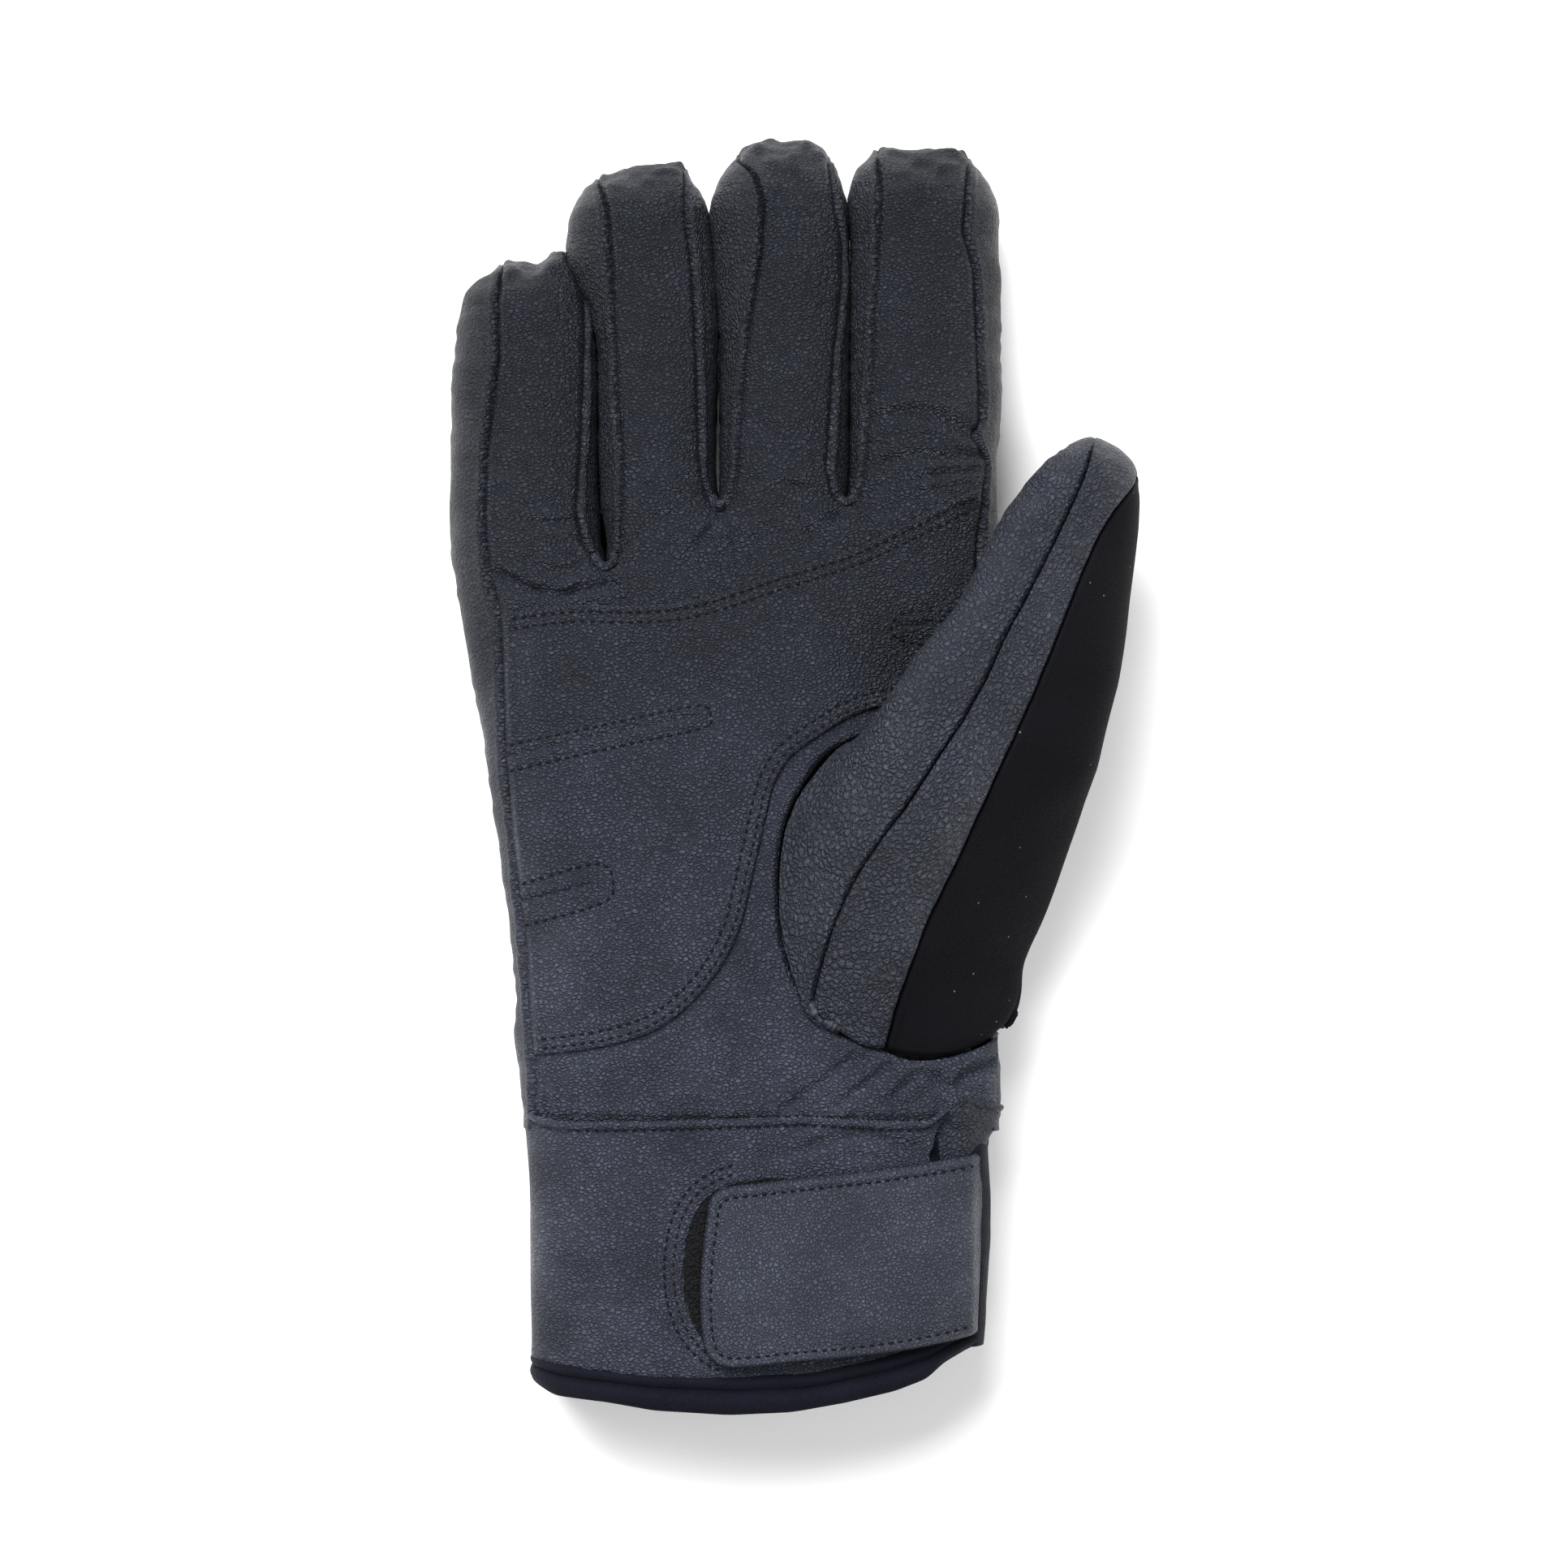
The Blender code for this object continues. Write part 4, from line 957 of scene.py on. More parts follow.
def patch_height(x, y):
    """The patch lies on the palm with a folded edge, two rows of stitches and three darts."""
    z = into_fingers(x, y, palm_base(x, y) + 0.5 * palm_folds(x, y) + palm_seams(x, y)) + 1.25
    for near in (near_patch_top, near_patch_low):
        d = near(x, y)
        z = z - 1.15 * bump(d, 0.0, 0.42) + 0.22 * bump(d, 0.95, 0.6)
    for near in near_rows:
        z = z - 0.34 * bump(near(x, y), 0.0, 0.42)
    for near in near_slits:
        d = near(x, y)
        z = z + 0.42 * bump(d, 1.15, 0.7) - 1.3 * bump(d, 0.0, 0.38)
    return z


def make_palm():
    palm = without_rim(height_object("palm_leather", palm_outline(), palm_height, LEATHER))
    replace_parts(palm, "palm_panel")
    outline = np.vstack([part[:-1] for part in (PATCH_TOP, PATCH_LEFT, PATCH_LOW, PATCH_RIGHT)])
    patch = height_object("palm_patch_leather", outline, patch_height, PATCH_LEATHER, 1.0)
    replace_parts(patch, "palm_patch")
    sewing = stitches("palm_patch_stitches", PATCH_ROWS, patch_height, THREAD, lift=0.24)
    for piece in (palm, patch, sewing):
        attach(piece, "hand")


def web_wall(index, line):
    """The turned-in leather at the bottom of the slot between two fingers, rolled under the palm's seam."""
    tangent = np.gradient(line, axis=0)
    tangent /= np.linalg.norm(tangent, axis=1, keepdims=True)
    into_gap = np.stack([-tangent[:, 1], tangent[:, 0]], 1)
    level = palm_height(line[:, 0], line[:, 1]) + 1.1
    radius = 1.0
    turn = np.radians(np.concatenate([np.linspace(215, -10, 18), np.full(12, -10.0)]))
    offset = radius * 0.8 + radius * np.cos(turn)
    offset[18:] -= np.linspace(0.1, 0.9, 12)
    drop = radius - radius * np.sin(turn)
    drop[18:] += np.linspace(1.0, 24.0, 12)
    offset = offset[None, :] + 0.15 * noise(np.arange(len(line))[:, None] / 3.0, drop[None, :] / 3, 61)
    xy = line[:, None, :] + into_gap[:, None, :] * offset[..., None]
    points = np.concatenate([xy, (level[:, None] - drop[None, :])[..., None]], -1)
    centre = line[len(line) // 2]
    obj = grid_object(f"web_{index}_leather", points, (centre[0], centre[1] - 20, 12.0), SIDE_LEATHER)
    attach(obj, "hand")


# ---------------------------------------------------------------- thumb

def thumb_angle(across, y):
    """The angle round the thumb's tube for a place across its panels.

    0 is the left edge, 1 and 2 are the seams, 3 is the right edge and 4 is underneath.
    """
    stops = [1.16 * math.pi + 0 * y, THUMB.angle(y, THUMB_SEAM_A(y)), THUMB.angle(y, THUMB_SEAM_B(y)), 0 * y,
             -0.58 * math.pi + 0 * y]
    stops = np.stack([np.broadcast_to(s, np.shape(y)) for s in stops], -1)
    k = np.clip(np.floor(across).astype(int), 0, 3)
    part = across - k
    low = np.take_along_axis(stops, k[..., None], -1)[..., 0]
    high = np.take_along_axis(stops, k[..., None] + 1, -1)[..., 0]
    return low + (high - low) * part


def thumb_base_points(along, across):
    """Points of the thumb's base for shares along it (rows) and places across it (columns)."""
    guides = []
    for line in (BASE_LEFT, BASE_SEAM_A, BASE_SEAM_B, BASE_RIGHT, BASE_UNDER):
        guide = smooth_line(line, 0.5)
        at = np.linspace(0, 1, len(guide))
        guides.append(np.stack([np.interp(along, at, guide[:, k]) for k in range(3)], -1))
    guides = np.stack(guides, 1)
    k = np.clip(np.floor(across).astype(int), 0, 3)
    s = (across - k)[None, :, None]
    before, start = guides[:, np.maximum(k - 1, 0)], guides[:, k]
    end, after = guides[:, k + 1], guides[:, np.minimum(k + 2, 4)]
    out_slope, in_slope = (end - before) / 2, (after - start) / 2
    return ((2 * s**3 - 3 * s**2 + 1) * start + (s**3 - 2 * s**2 + s) * out_slope
            + (3 * s**2 - 2 * s**3) * end + (s**3 - s**2) * in_slope)


def thumb_panel(name, first, last, count, relief, material, wrap, start=0.0):
    across = first + (last - first) * columns(count)
    along = np.linspace(start, 1.0, 66)
    s = np.concatenate([np.arange(STEP, THUMB.start, STEP),
                        THUMB.start + THUMB.reach * np.linspace(0, wrap, 30)])
    base = thumb_base_points(along, across)
    hinge_angle = thumb_angle(across, np.zeros_like(across))
    join = THUMB.point(0.0, hinge_angle)
    base = base + smoothstep(along, 0.55, 1.0)[:, None, None] * (join - base[-1])[None]
    foot = base[0].copy()
    side = np.clip(across - 2, 0, 1)
    foot[:, 1] -= 2.9 * np.sin(math.pi * side)
    foot[:, 2] = np.where(side > 0,
                          np.maximum(foot[:, 2], HAND.top(np.minimum(foot[:, 0], 43.6), foot[:, 1]) - 0.4),
                          foot[:, 2])
    base = base + smoothstep(along, 0.3, 0.0)[:, None, None] * (foot - base[0])[None]
    y = np.minimum(THUMB.along(s)[0], THUMB.tip)
    angle = thumb_angle(np.broadcast_to(across, (len(s), count)).copy(), np.repeat(y[:, None], count, 1))
    free = THUMB.point(s[:, None], angle)
    flat = np.concatenate([base, free])
    d0, d1 = edge_distances(flat)
    run = np.concatenate([(along - 1) * 62.0, s])[:, None] + 0 * d0
    out = relief(d0, d1, run)
    rows = len(along)
    moved_free = THUMB.point(s[:, None], angle, out[rows:])
    normal = normals_of(flat)[:rows]
    centre = np.array((24.0, -26.0, 14.0))
    flip = np.sign(np.einsum("ijk,ijk->", normal, base - centre))
    moved_base = base + flip * normal * out[:rows, :, None]
    hinge_move = THUMB.point(0.0, hinge_angle, out[rows - 1]) - join
    follow = smoothstep(along, 0.85, 1.0)[:, None, None]
    moved_base = moved_base * (1 - follow) + (base + hinge_move[None]) * follow
    points = np.concatenate([moved_base, moved_free])
    uv = grid_uv(flat)
    uv[..., 1] = run
    return grid_object(name, points, (36.0, 0.0, 22.0), material, uv=uv)


def thumb_leather_relief(d0, d1, run):
    t = np.clip(d0 / np.maximum(d0 + d1, 1e-6), 0, 1)
    ending = 1 - 0.8 * smoothstep(run, THUMB.tip - 5, THUMB.tip)
    folds = 0.2 * noise(d0 / 6, run / 2.2, 71) + 0.35 * noise(d0 / 9, run / 9, 72)
    return ending * (0.6 * (4 * t * (1 - t)) ** 0.5 + folds + sewn_edge(d0, 1.0, 0.15, 0.35)
                     + sewn_edge(d1, 1.0, 0.15, 0.35))


def thumb_stretch_relief(d0, d1, run):
    ending = 1 - 0.8 * smoothstep(run, THUMB.tip - 5, THUMB.tip)
    return ending * (0.35 * noise(d0 / 10, run / 12, 73) + sewn_edge(d0, 1.0, 0.1, 0.35)) + 0.0 * d1


def make_thumb():
    front = thumb_panel("thumb_front_leather", 0.0, 1.0, 40, thumb_leather_relief, THUMB_LEATHER, 1.57)
    strip = thumb_panel("thumb_strip_leather", 1.0, 2.0, 22, thumb_leather_relief, THUMB_LEATHER, 2.3)
    black = thumb_panel("thumb_stretch_cloth", 2.0, 4.0, 60, thumb_stretch_relief, STRETCH, 1.2)
    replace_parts(front, "thumb_front_panel", "thumb_base_front")
    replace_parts(strip, "thumb_top_strip", "thumb_base_strip")
    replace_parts(black, "thumb_stretch_panel", "thumb_base_stretch")
    rows = np.concatenate([np.arange(-14, THUMB.start, STEP * 1.2),
                           THUMB.start + THUMB.reach * np.linspace(0, 1.2, 10)])
    inner = tube_panel("thumb_inner_leather", THUMB, rows, lambda y: 0 * y + 1.16 * math.pi,
                       lambda y: 0 * y + 1.42 * math.pi,
                       22, side_relief, THUMB_LEATHER)
    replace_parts(inner, "thumb_inner_panel")
    pieces = [front, strip, black, inner]
    for depth, word, material, thick in ((3.6, "insulation", WADDING, 1.6), (5.6, "lining", FLEECE, 0.8)):
        sleeve = liner(f"thumb_{word}_sleeve", THUMB, 0.0, depth, material, thick)
        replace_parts(sleeve, f"thumb_{word}", f"thumb_base_{word}")
        pieces.append(sleeve)
    for piece in pieces:
        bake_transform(piece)


# ---------------------------------------------------------------- sides, back and cuff

BACK_LEFT = curve([(-72, -49.5), (-30, -52.5), (9, -58.0), (46, -64.5)])
CUFF_BACK_LEFT = curve([(-140, -47.5), (-72, -49.5)])
CUFF_BACK_RIGHT = curve([(-140, 31.0), (-72, 35.5)])


def palm_left_x(y):
    return np.interp(y, PALM_LEFT[:, 1], PALM_LEFT[:, 0])


def palm_right_x(y):
    return np.interp(y, PALM_RIGHT[::-1, 1], PALM_RIGHT[::-1, 0])


def make_sides():
    little, pointer = FINGERS["little"], FINGERS["index"]
    rows = np.append(np.arange(-75.5, little.split, STEP * 1.1), little.split)
    into = (little, lambda y: little.angle(y, little.seam_low(y)),
            lambda y: 2 * math.pi - little.angle(y, little.seam_low(y)), 34.0)
    outer = tube_panel("outer_side_leather", HAND, rows, lambda y: HAND.angle(y, palm_left_x(y)),
                       lambda y: 2 * math.pi + HAND.under_angle(y, BACK_LEFT(y)), 34,
                       side_relief, SIDE_LEATHER, into=into)
    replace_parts(without_rim(outer), "outer_side_panel")
    rows = np.append(np.arange(10.0, pointer.split, STEP * 1.1), pointer.split)
    into = (pointer, lambda y: pointer.angle(y, pointer.seam_high(y)),
            lambda y: -pointer.angle(y, pointer.seam_high(y)), 44.0)
    index = tube_panel("index_side_leather", HAND, rows, lambda y: HAND.angle(y, palm_right_x(y)),
                       lambda y: HAND.under_angle(y, 35.5 + 0 * y), 34, side_relief, SIDE_LEATHER, into=into)
    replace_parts(without_rim(index), "index_side_panel")
    heights = curve([(-60, 5.5), (-42, 6.5), (-31, 8.5), (-20, 12.0), (-8, 16.5), (14, 23.0)])

    def thumb_edge(y):
        share = (heights(y) - 15.9) / 15.3
        return np.arcsin(signed_power(share, np.where(share > 0, HAND.power, HAND.under) / 2))

    ball = tube_panel("thumb_side_leather", HAND, np.arange(-58.5, 14.0, STEP * 1.2), thumb_edge,
                      lambda y: HAND.under_angle(y, 35.5 + 0 * y), 22, side_relief, SIDE_LEATHER)
    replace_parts(ball, "thumb_side_panel")
    wrist = tube_panel("wrist_side_leather", HAND, np.arange(-76.0, -55.5, STEP),
                       lambda y: HAND.angle(y, 42.4 + 0 * y),
                       lambda y: HAND.under_angle(y, 35.5 + 0 * y), 34,
                       lambda x, s, z, d0, d1: 0.5 * noise(z / 5, s / 3, 81) - 0.5, SIDE_LEATHER)
    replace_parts(wrist, "wrist_side_panel")
    for piece in (outer, index, ball, wrist):
        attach(piece, "hand")


def make_back():
    """The soft cloth of the back: the hand's, with a knuckle seam and wrist gathers, and the cuff's."""
    y = np.arange(-75.5, 56.5, STEP * 1.3)
    low, high = BACK_LEFT(y)[:, None], 36.0
    x = low + (high - low) * columns(90)
    s = y[:, None] + 0 * x
    knuckle = np.abs(s - (30 + 6 * np.sin((x + 60) / 100 * math.pi)))
    gathers = smoothstep(-s, 52, 62) * smoothstep(-s, 76, 70)
    z = 0.35 + 0.25 * noise(x / 14, s / 12, 91)
    z = z + 0.5 * bump(knuckle, 0.0, 0.6) - 0.25 * bump(knuckle, 1.8, 0.8)
    z = z + 0.45 * gathers * (1 + np.sin(x * 1.45 + noise(x / 9, s / 9, 92)))
    edge = np.minimum(x - low, high - x)
    z = np.maximum(z + 1.1 * bump(edge, 0.0, 0.8), 0.02)
    z = z + 0.5 * smoothstep(s, 46, 52)
    back = grid_object("back_cloth", np.stack([x, s, z], -1), (-10.0, 0.0, 20.0), SOFTSHELL)
    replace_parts(back, "back_panel")
    y = np.arange(-124.0, -74.5, STEP * 1.3)
    low, high = CUFF_BACK_LEFT(y)[:, None], CUFF_BACK_RIGHT(y)[:, None]
    x = low + (high - low) * columns(80)
    s = y[:, None] + 0 * x
    edge = np.minimum(x - low, high - x)
    z = np.maximum(0.4 + 0.3 * noise(x / 15, s / 10, 93) + 1.0 * bump(edge, 0.0, 0.8), 0.02)
    cuff = grid_object("cuff_back_cloth", np.stack([x, s, z], -1), (-10.0, -100.0, 20.0), SOFTSHELL)
    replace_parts(cuff, "cuff_back_panel")
    for piece in (back, cuff):
        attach(piece, "hand")


CUFF_TOP = curve([(-60, -69.6), (-57.7, -70.3), (-52.0, -72.6), (-47.2, -73.5), (-29.2, -73.2),
                  (2.0, -72.2), (18.0, -73.2), (27.0, -73.4), (29.5, -70.2)], 1.5)
CUFF_BOTTOM = curve([(-56.5, -124.2), (-44.7, -126.0), (-30.9, -127.2), (-13.7, -127.7), (3.5, -127.2),
                     (17.3, -124.3), (29.3, -120.8), (32.8, -119.1), (40.0, -117.0)])
HEM_BOTTOM = curve([(-58.0, -128.0), (-54.4, -129.6), (-50.8, -131.4), (-40.0, -132.4), (-29.2, -134.1),
                    (-13.2, -135.0), (0.0, -134.4), (10.8, -132.5), (21.6, -130.0), (28.1, -127.6),
                    (31.0, -124.5), (36.0, -121.8), (40.0, -120.5)])
WINDOW = smooth_line([(-6.0, -85.5), (-13.0, -86.6), (-18.5, -89.4), (-22.0, -95.0), (-23.4, -103.0),
                      (-22.8, -111.0), (-20.0, -117.5), (-15.5, -121.5), (-8.0, -124.2)])
WINDOW_ROWS = [offset_line(WINDOW, -2.0), offset_line(WINDOW, -4.0)]
near_window = Nearness(WINDOW)
near_window_rows = [Nearness(line) for line in WINDOW_ROWS]
CUFF_FOLDS = [(Nearness(smooth_line([(4.0, -78.0), (14.0, -76.6), (24.0, -79.0), (29.0, -81.0)])), 0.9, 1.2),
              (Nearness(smooth_line([(-10.0, -81.0), (6.0, -79.5), (20.0, -81.5)])), 0.6, 1.3)]


def in_window(x, y):
    """1 inside the loop window, 0 outside it."""
    edge = np.interp(y, WINDOW[::-1, 1], WINDOW[::-1, 0])
    return smoothstep(x - edge, -0.1, 0.3)


def cuff_relief(x, y):
    """Height of the cuff's leather off its tube, away from its hems."""
    z = 0.25 * noise(x / 14, y / 12, 101)
    d = near_window(x, y)
    inside = in_window(x, y)
    z = z + (1 - inside) * (0.55 * bump(d, 0.9, 0.9) - 0.5 * bump(d, 0.0, 0.3)) - 0.7 * inside
    for near in near_window_rows:
        z = z - 0.3 * bump(near(x, y), 0.0, 0.4)
    for near, depth, width in CUFF_FOLDS:
        z = z + fold(near(x, y), depth, width)
    puckers = smoothstep(y, -121, -126) * 0.3 * noise(x / 1.8, y / 3, 102)
    return z + puckers


def cuff_height(x, y):
    return CUFF.top(x, y) + cuff_relief(x, y) + 0.3


def cuff_top_row():
    x = np.arange(28.3, -56.5, -0.5)
    return np.column_stack([x, CUFF_TOP(x) - 1.8])


def make_cuff_front():
    """The leather of the cuff's palm side, hemmed along its top and tucked in at its foot."""
    a0, a1 = float(CUFF.angle(-100.0, 29.8)), 1.06 * math.pi
    angle = np.linspace(a0, a1, 190)
    share = columns(96)
    guess = CUFF.point(-100.0, angle)
    x_guide = guess[:, 0]
    x_guide = np.where(angle > math.pi, x_guide[angle <= math.pi][-1], x_guide)
    top, bottom = CUFF_TOP(x_guide), CUFF_BOTTOM(x_guide) - 0.6
    y = bottom[None, :] + (top - bottom)[None, :] * share[:, None]
    flat = CUFF.point(y, angle[None, :])
    near_top = top[None, :] - y
    out = 0.3 + cuff_relief(flat[..., 0], y)
    hem = smoothstep(angle, 0.98 * math.pi, 0.82 * math.pi)[None, :]
    out = out + hem * (0.8 * bump(near_top, 0.9, 0.9) - 0.5 * bump(near_top, 0.0, 0.3))
    out = out - 0.35 * bump(near_top, 2.2, 0.4)
    out = out - 1.2 * (1 - hem) * smoothstep(near_top, 4, 0)
    out = out + 0.5 * smoothstep(near_top, 6, 0) - 1.2 * bump(y - bottom[None, :], 0.0, 0.8)
    points = CUFF.point(y, angle[None, :], out)
    uv = np.stack([flat[..., 0] - (angle[None, :] > 3.0) * flat[..., 2], y], -1)
    front = grid_object("cuff_front_leather", points, (-8.0, -100.0, 14.0), LEATHER, 1.0, uv=uv)
    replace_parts(front, "cuff_front_panel")
    return front


def cuff_side_relief(x, s, z, d0, d1):
    return 0.5 * noise(z / 6, s / 8, 111) + 0.5 * bump(s, -93.0, 6.0) - 0.2


def gusset_relief(x, s, z, d0, d1):
    """The gusset lies deep beside the front panel and comes up to the tube away from it."""
    return -1.8 + 2.3 * smoothstep(d0, 7, 13) + 0.3 * noise(z / 4, s / 9, 112)


def make_cuff_sides():
    outer = tube_panel("cuff_outer_side_leather", CUFF, np.arange(-125.0, -71.0, STEP * 1.2),
                       lambda y: 0 * y + 1.03 * math.pi,
                       lambda y: 2 * math.pi + CUFF.under_angle(y, CUFF_BACK_LEFT(y)), 26,
                       cuff_side_relief, SOFTSHELL)
    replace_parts(outer, "cuff_outer_side")
    gusset = tube_panel("cuff_gusset_cloth", CUFF, np.arange(-121.5, -78.0, STEP),
                        lambda y: CUFF.angle(y, 27.0 + 0 * y),
                        lambda y: CUFF.under_angle(y, CUFF_BACK_RIGHT(y)), 60,
                        gusset_relief, BINDING)
    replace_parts(gusset, "cuff_gusset")
    return [outer, gusset]


def cuff_stitch_height(x, y):
    return cuff_height(x, y) + 0.35 * smoothstep(CUFF_TOP(x) - y, 6, 0)


def make_cuff():
    pieces = [make_cuff_front()] + make_cuff_sides()
    pieces += [make_pleat(), make_loop(), make_hem()]
    rows = [cuff_top_row()] + [trimmed(row, 6, 6) for row in WINDOW_ROWS]
    pieces.append(stitches("cuff_stitches", rows, cuff_stitch_height, THREAD, lift=0.24))
    pieces += make_liners()
    for piece in pieces:
        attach(piece, "hand")


def make_pleat():
    """The small hemmed piece of leather that folds over the gusset, above the strap."""
    angle = np.linspace(float(CUFF.angle(-74.0, 30.6)), -0.10 * math.pi, 60)
    x = CUFF.point(-74.0, angle)[:, 0]
    top = curve([(29.0, -68.3), (31.5, -67.7), (38.0, -69.0), (43.3, -70.4)], 1.0)(x)
    share = columns(40)
    y = -85.0 + (top[None, :] + 85.0) * share[:, None]
    near_top = top[None, :] - y
    near_side = (CUFF.point(-74.0, angle)[:, 0] - 30.6)
    near_side = np.abs(near_side[0] - near_side)[None, :]
    flatter = smoothstep(angle, 0.10 * math.pi, -0.06 * math.pi)[None, :]
    out = 1.2 - 1.3 * flatter
    out = out + 0.4 * (1 - flatter) * bump(near_top, 1.0, 0.9)
    out = out - 1.2 * bump(near_top, 0.0, 0.4) - 0.3 * bump(near_top, 1.9, 0.4)
    out = out - 3.0 * smoothstep(near_side, 3.6, 1.8) + 0.15 * noise(x[None, :] / 3, y / 4, 121)
    out = out - 1.2 * smoothstep(y, -74.5, -83.0)
    out = out - 1.8 * bump(near_side, 4.0, 2.4) * smoothstep(y, -71.0, -77.0)
    return grid_object("gusset_pleat_leather", CUFF.point(y, angle[None, :], out), (0.0, -76.0, 12.0),
                       SIDE_LEATHER)


def loop_height(x, y):
    return CUFF.top(x, y) + 0.25 + 0.22 * noise(x / 0.8, y / 0.8, 131)


def make_loop():
    """The patch of loop pile that the strap closes on, seen in its window beside the strap's end."""
    outline = np.vstack([offset_line(WINDOW, -0.4)[:-1],
                         even([(-8.0, -124.0), (2.0, -124.0), (2.0, -85.5), (-6.0, -85.5)], 0.6)[:-1]])
    loop = height_object("loop_pile", outline, loop_height, LOOP, 0.7)
    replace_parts(loop, "loop_patch")
    return loop


def make_hem():
    """The ribbed binding round the cuff's mouth: a flat band and a rolled edge."""
    angle = np.linspace(0, 2 * math.pi, 420)
    ring = CUFF.point(-126.0, angle)
    top, bottom = CUFF_BOTTOM(ring[:, 0]) + 0.9, HEM_BOTTOM(ring[:, 0])
    share = np.linspace(0, 1, 44)
    turn = smoothstep(share, 0.68, 1.0)
    down = np.minimum(share / 0.72, 1.0)
    y = top[None, :] + (bottom - top)[None, :] * down[:, None]
    y = y + 5.0 * (smoothstep(share, 0.74, 1.0) ** 1.5)[:, None]
    out = 0.5 * bump(down, 0.2, 0.14) + 0.7 * bump(down, 0.68, 0.26) - 0.55 * bump(down, 0.40, 0.035)
    out = out - 0.5 * bump(down, 0.0, 0.05) - 3.2 * turn
    out = out[:, None] + 0.12 * noise(ring[None, :, 0] / 5, share[:, None] * 3, 141) * (1 - turn[:, None])
    points = CUFF.point(y, angle[None, :], out)
    hem = grid_object("hem_binding_cloth", points, (-8.0, -120.0, 14.0), BINDING, 0.0)
    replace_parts(hem, "hem_binding")
    return hem


def make_liners():
    """The padding, the lining and the wrist elastic inside the hand and the cuff."""
    full = (lambda y: 0 * y, lambda y: 0 * y + 2 * math.pi)
    inner = (
        ("hand_padding", HAND, (-64.0, 34.0), 6.4, WADDING, 1.6, "hand_insulation"),
        ("hand_fleece", HAND, (-70.0, 40.0), 8.4, FLEECE, 0.8, "hand_lining"),
        ("cuff_fleece", CUFF, (-119.5, -68.0), 3.6, FLEECE, 0.8, "cuff_lining"),
        ("wrist_elastic_band", HAND, (-71.0, -65.0), 1.9, ELASTIC, 0.9, "wrist_elastic"),
    )
    pieces = []
    for name, tube, (start, end), depth, material, thick, node in inner:
        piece = tube_panel(name, tube, np.linspace(start, end, 24), *full, 90,
                           lambda x, s, z, d0, d1, depth=depth: liner_relief(x, s, z, d0, d1) - depth,
                           material, thick)
        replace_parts(piece, node)
        pieces.append(piece)
    return pieces


# ---------------------------------------------------------------- strap

STRAP_TOP = [(39.4, -80.3), (26.0, -82.2), (14.4, -83.7), (0.0, -85.2), (-8.0, -86.2), (-13.2, -86.7),
             (-16.2, -87.7), (-17.9, -89.8), (-18.6, -93.5)]
STRAP_END = [(-18.6, -93.5), (-19.4, -100.0), (-19.9, -106.2), (-19.9, -113.0), (-19.6, -117.5)]
STRAP_LOW = [(-19.6, -117.5), (-18.7, -121.6), (-16.6, -124.0), (-13.4, -124.9), (-7.0, -124.5),
             (0.0, -123.7), (10.0, -122.9), (21.6, -121.6), (32.0, -119.9), (38.8, -118.6)]
STRAP_RIGHT = [(38.8, -118.6), (38.6, -117.0), (39.4, -98.8), (39.6, -90.0), (39.4, -80.3)]
STRAP_EDGE = np.vstack([smooth_line(STRAP_TOP)[:-1], smooth_line(STRAP_END)[:-1], smooth_line(STRAP_LOW)])
near_strap_edge = Nearness(STRAP_EDGE)
STRAP_ROW = trimmed(offset_line(STRAP_EDGE, 2.3), 1.5, 1.5)
near_strap_row = Nearness(STRAP_ROW)


def strap_height(x, y):
    """The strap over the cuff: a rolled edge, a row of stitches and a turn down at the thumb side."""
    d = near_strap_edge(x, y)
    z = CUFF.top(np.minimum(x, 38.0), y) + 4.2 + 0.3 * noise(x / 16, y / 13, 151)
    z = z + 0.35 * bump(d, 1.1, 0.8) - 2.6 * bump(d, 0.0, 0.5) - 0.4 * bump(near_strap_row(x, y), 0.0, 0.45)
    z = z + 0.4 * smoothstep(d, 2.3, 7.0)
    return z - 5.5 * smoothstep(x, 36.5, 39.8) ** 2


def strap_root_relief(x, s, z, d0, d1):
    return 0.1 - 1.4 * bump(np.minimum(s + 118.0, -82.0 - s), 0.0, 0.8)


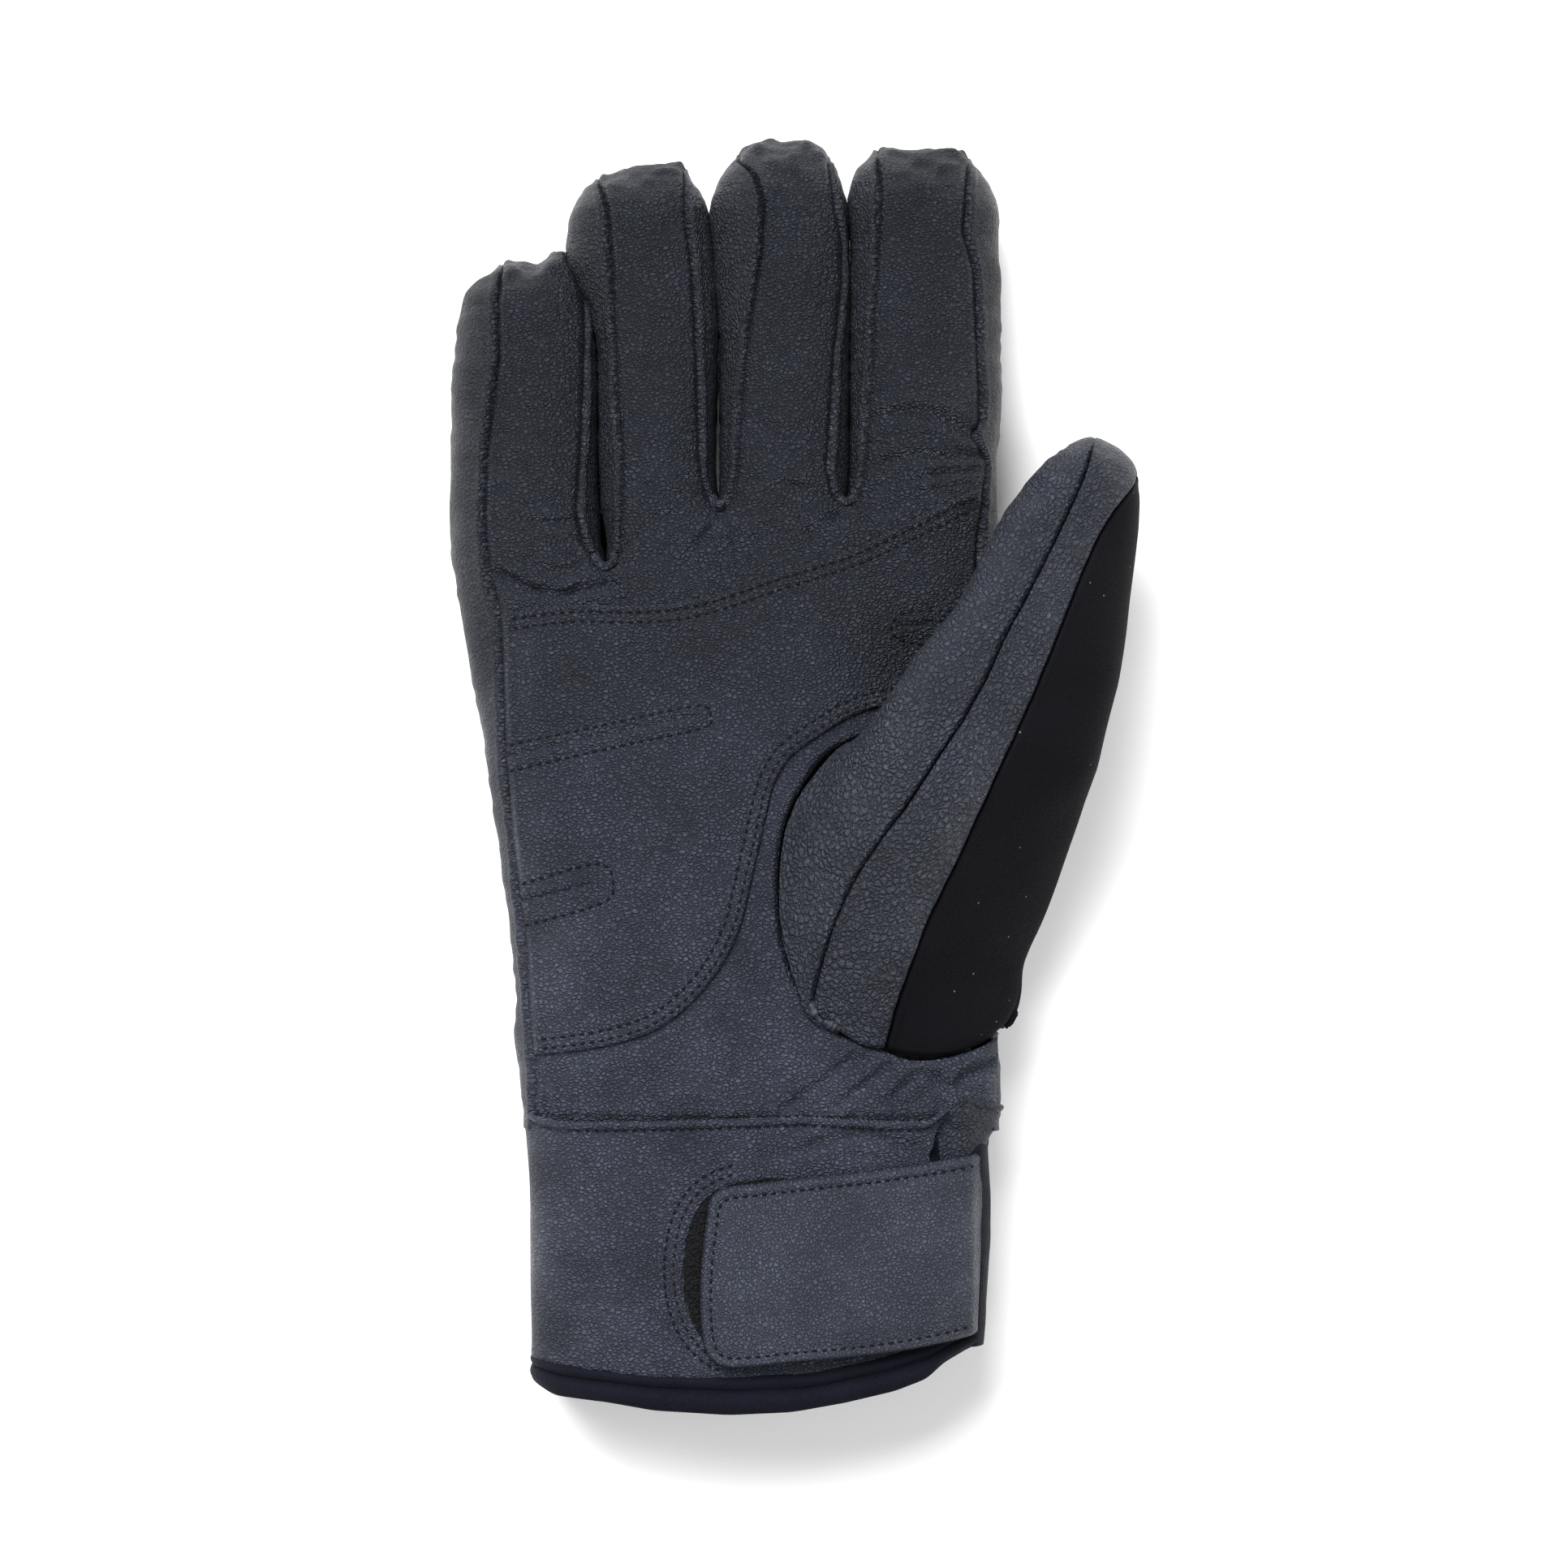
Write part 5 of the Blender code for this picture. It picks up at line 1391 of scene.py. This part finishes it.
def make_strap():
    outline = np.vstack([STRAP_EDGE[:-1], smooth_line(STRAP_RIGHT)[:-1]])
    leather_piece = height_object("strap_leather_tab", outline, strap_height, STRAP_LEATHER, 1.3)
    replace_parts(leather_piece, "strap_leather")
    root = tube_panel("strap_root_leather", CUFF, np.arange(-118.0, -82.0, STEP),
                      lambda y: 0 * y - 0.02 * math.pi, lambda y: 0 * y - 0.30 * math.pi, 24,
                      strap_root_relief, STRAP_LEATHER)
    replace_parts(root, "strap_root")
    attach(root, "hand")
    pieces = [leather_piece, stitches("strap_stitches", [STRAP_ROW], strap_height, THREAD, lift=0.24)]
    under = ((1.6, "strap_backing_cloth", SOFTSHELL, "strap_backing", 1.4, 37.5),
             (2.7, "strap_hooks", HOOKS, "strap_hook_tape", 2.8, 11.0))
    for drop, name, material, node, margin, right in under:
        left = -18.4 + margin
        corners = [(left, -89.5 - margin), (left, -119.5 + margin), (right, -117.0 + margin),
                   (right, -84.5 - margin), (left, -89.5 - margin)]
        piece = height_object(name, even(corners, 0.8)[:-1],
                              lambda x, y, drop=drop: CUFF.top(np.minimum(x, 38.0), y) + 4.2 - drop,
                              material, 0.7)
        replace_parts(piece, node)
        pieces.append(piece)
    for piece in pieces:
        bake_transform(piece)


# ---------------------------------------------------------------- the glove, then the studio

make_palm()
for label, shape in FINGERS.items():
    make_finger(label, shape)
for number, edge_line in enumerate(WEBS):
    web_wall(number, edge_line[(edge_line[:, 1] < edge_line[:, 1].min() + 3.5)])
make_thumb()
make_sides()
make_back()
make_cuff()
make_strap()


CAMERA_PLACE = (-2.3, -2.5, 945.5)
LENS = 100.0
WORLD_LIGHT = 0.30
FLOOR_REACH = 3000
LIGHTS = (("key", (-0.45, 0.95, 1.30), 1.0, 56.0), ("fill", (0.5, -0.4, 1.6), 1.2, 16.0))


def make_camera(scene):
    camera_data = bpy.data.cameras.new("studio_camera")
    camera_data.lens = LENS
    camera = bpy.data.objects.new("studio_camera", camera_data)
    scene.collection.objects.link(camera)
    camera.location = tuple(value * MM for value in CAMERA_PLACE)
    camera_data.clip_end = 20.0
    scene.camera = camera


def make_studio():
    """The camera over the palm, a white floor under the glove, two area lights and a dim world."""
    scene = bpy.context.scene
    scene.view_settings.view_transform = "Standard"
    make_camera(scene)
    far = FLOOR_REACH
    floor = mesh_object("floor", [(-far, -far, -1), (far, -far, -1), (far, far, -1), (-far, far, -1)],
                        [(0, 1, 2, 3)], [(0, 0), (1, 0), (1, 1), (0, 1)], FLOOR)
    for name, place, size, power in LIGHTS:
        data = bpy.data.lights.new(name, "AREA")
        data.size = size
        data.energy = power
        lamp = bpy.data.objects.new(name, data)
        lamp.location = place
        lamp.rotation_euler = (-Vector(place)).to_track_quat("-Z", "Y").to_euler()
        scene.collection.objects.link(lamp)
    world = bpy.data.worlds.new("studio")
    world.use_nodes = True
    world.node_tree.nodes["Background"].inputs[0].default_value = (1.0, 1.0, 1.0, 1.0)
    world.node_tree.nodes["Background"].inputs[1].default_value = WORLD_LIGHT
    scene.world = world


make_studio()
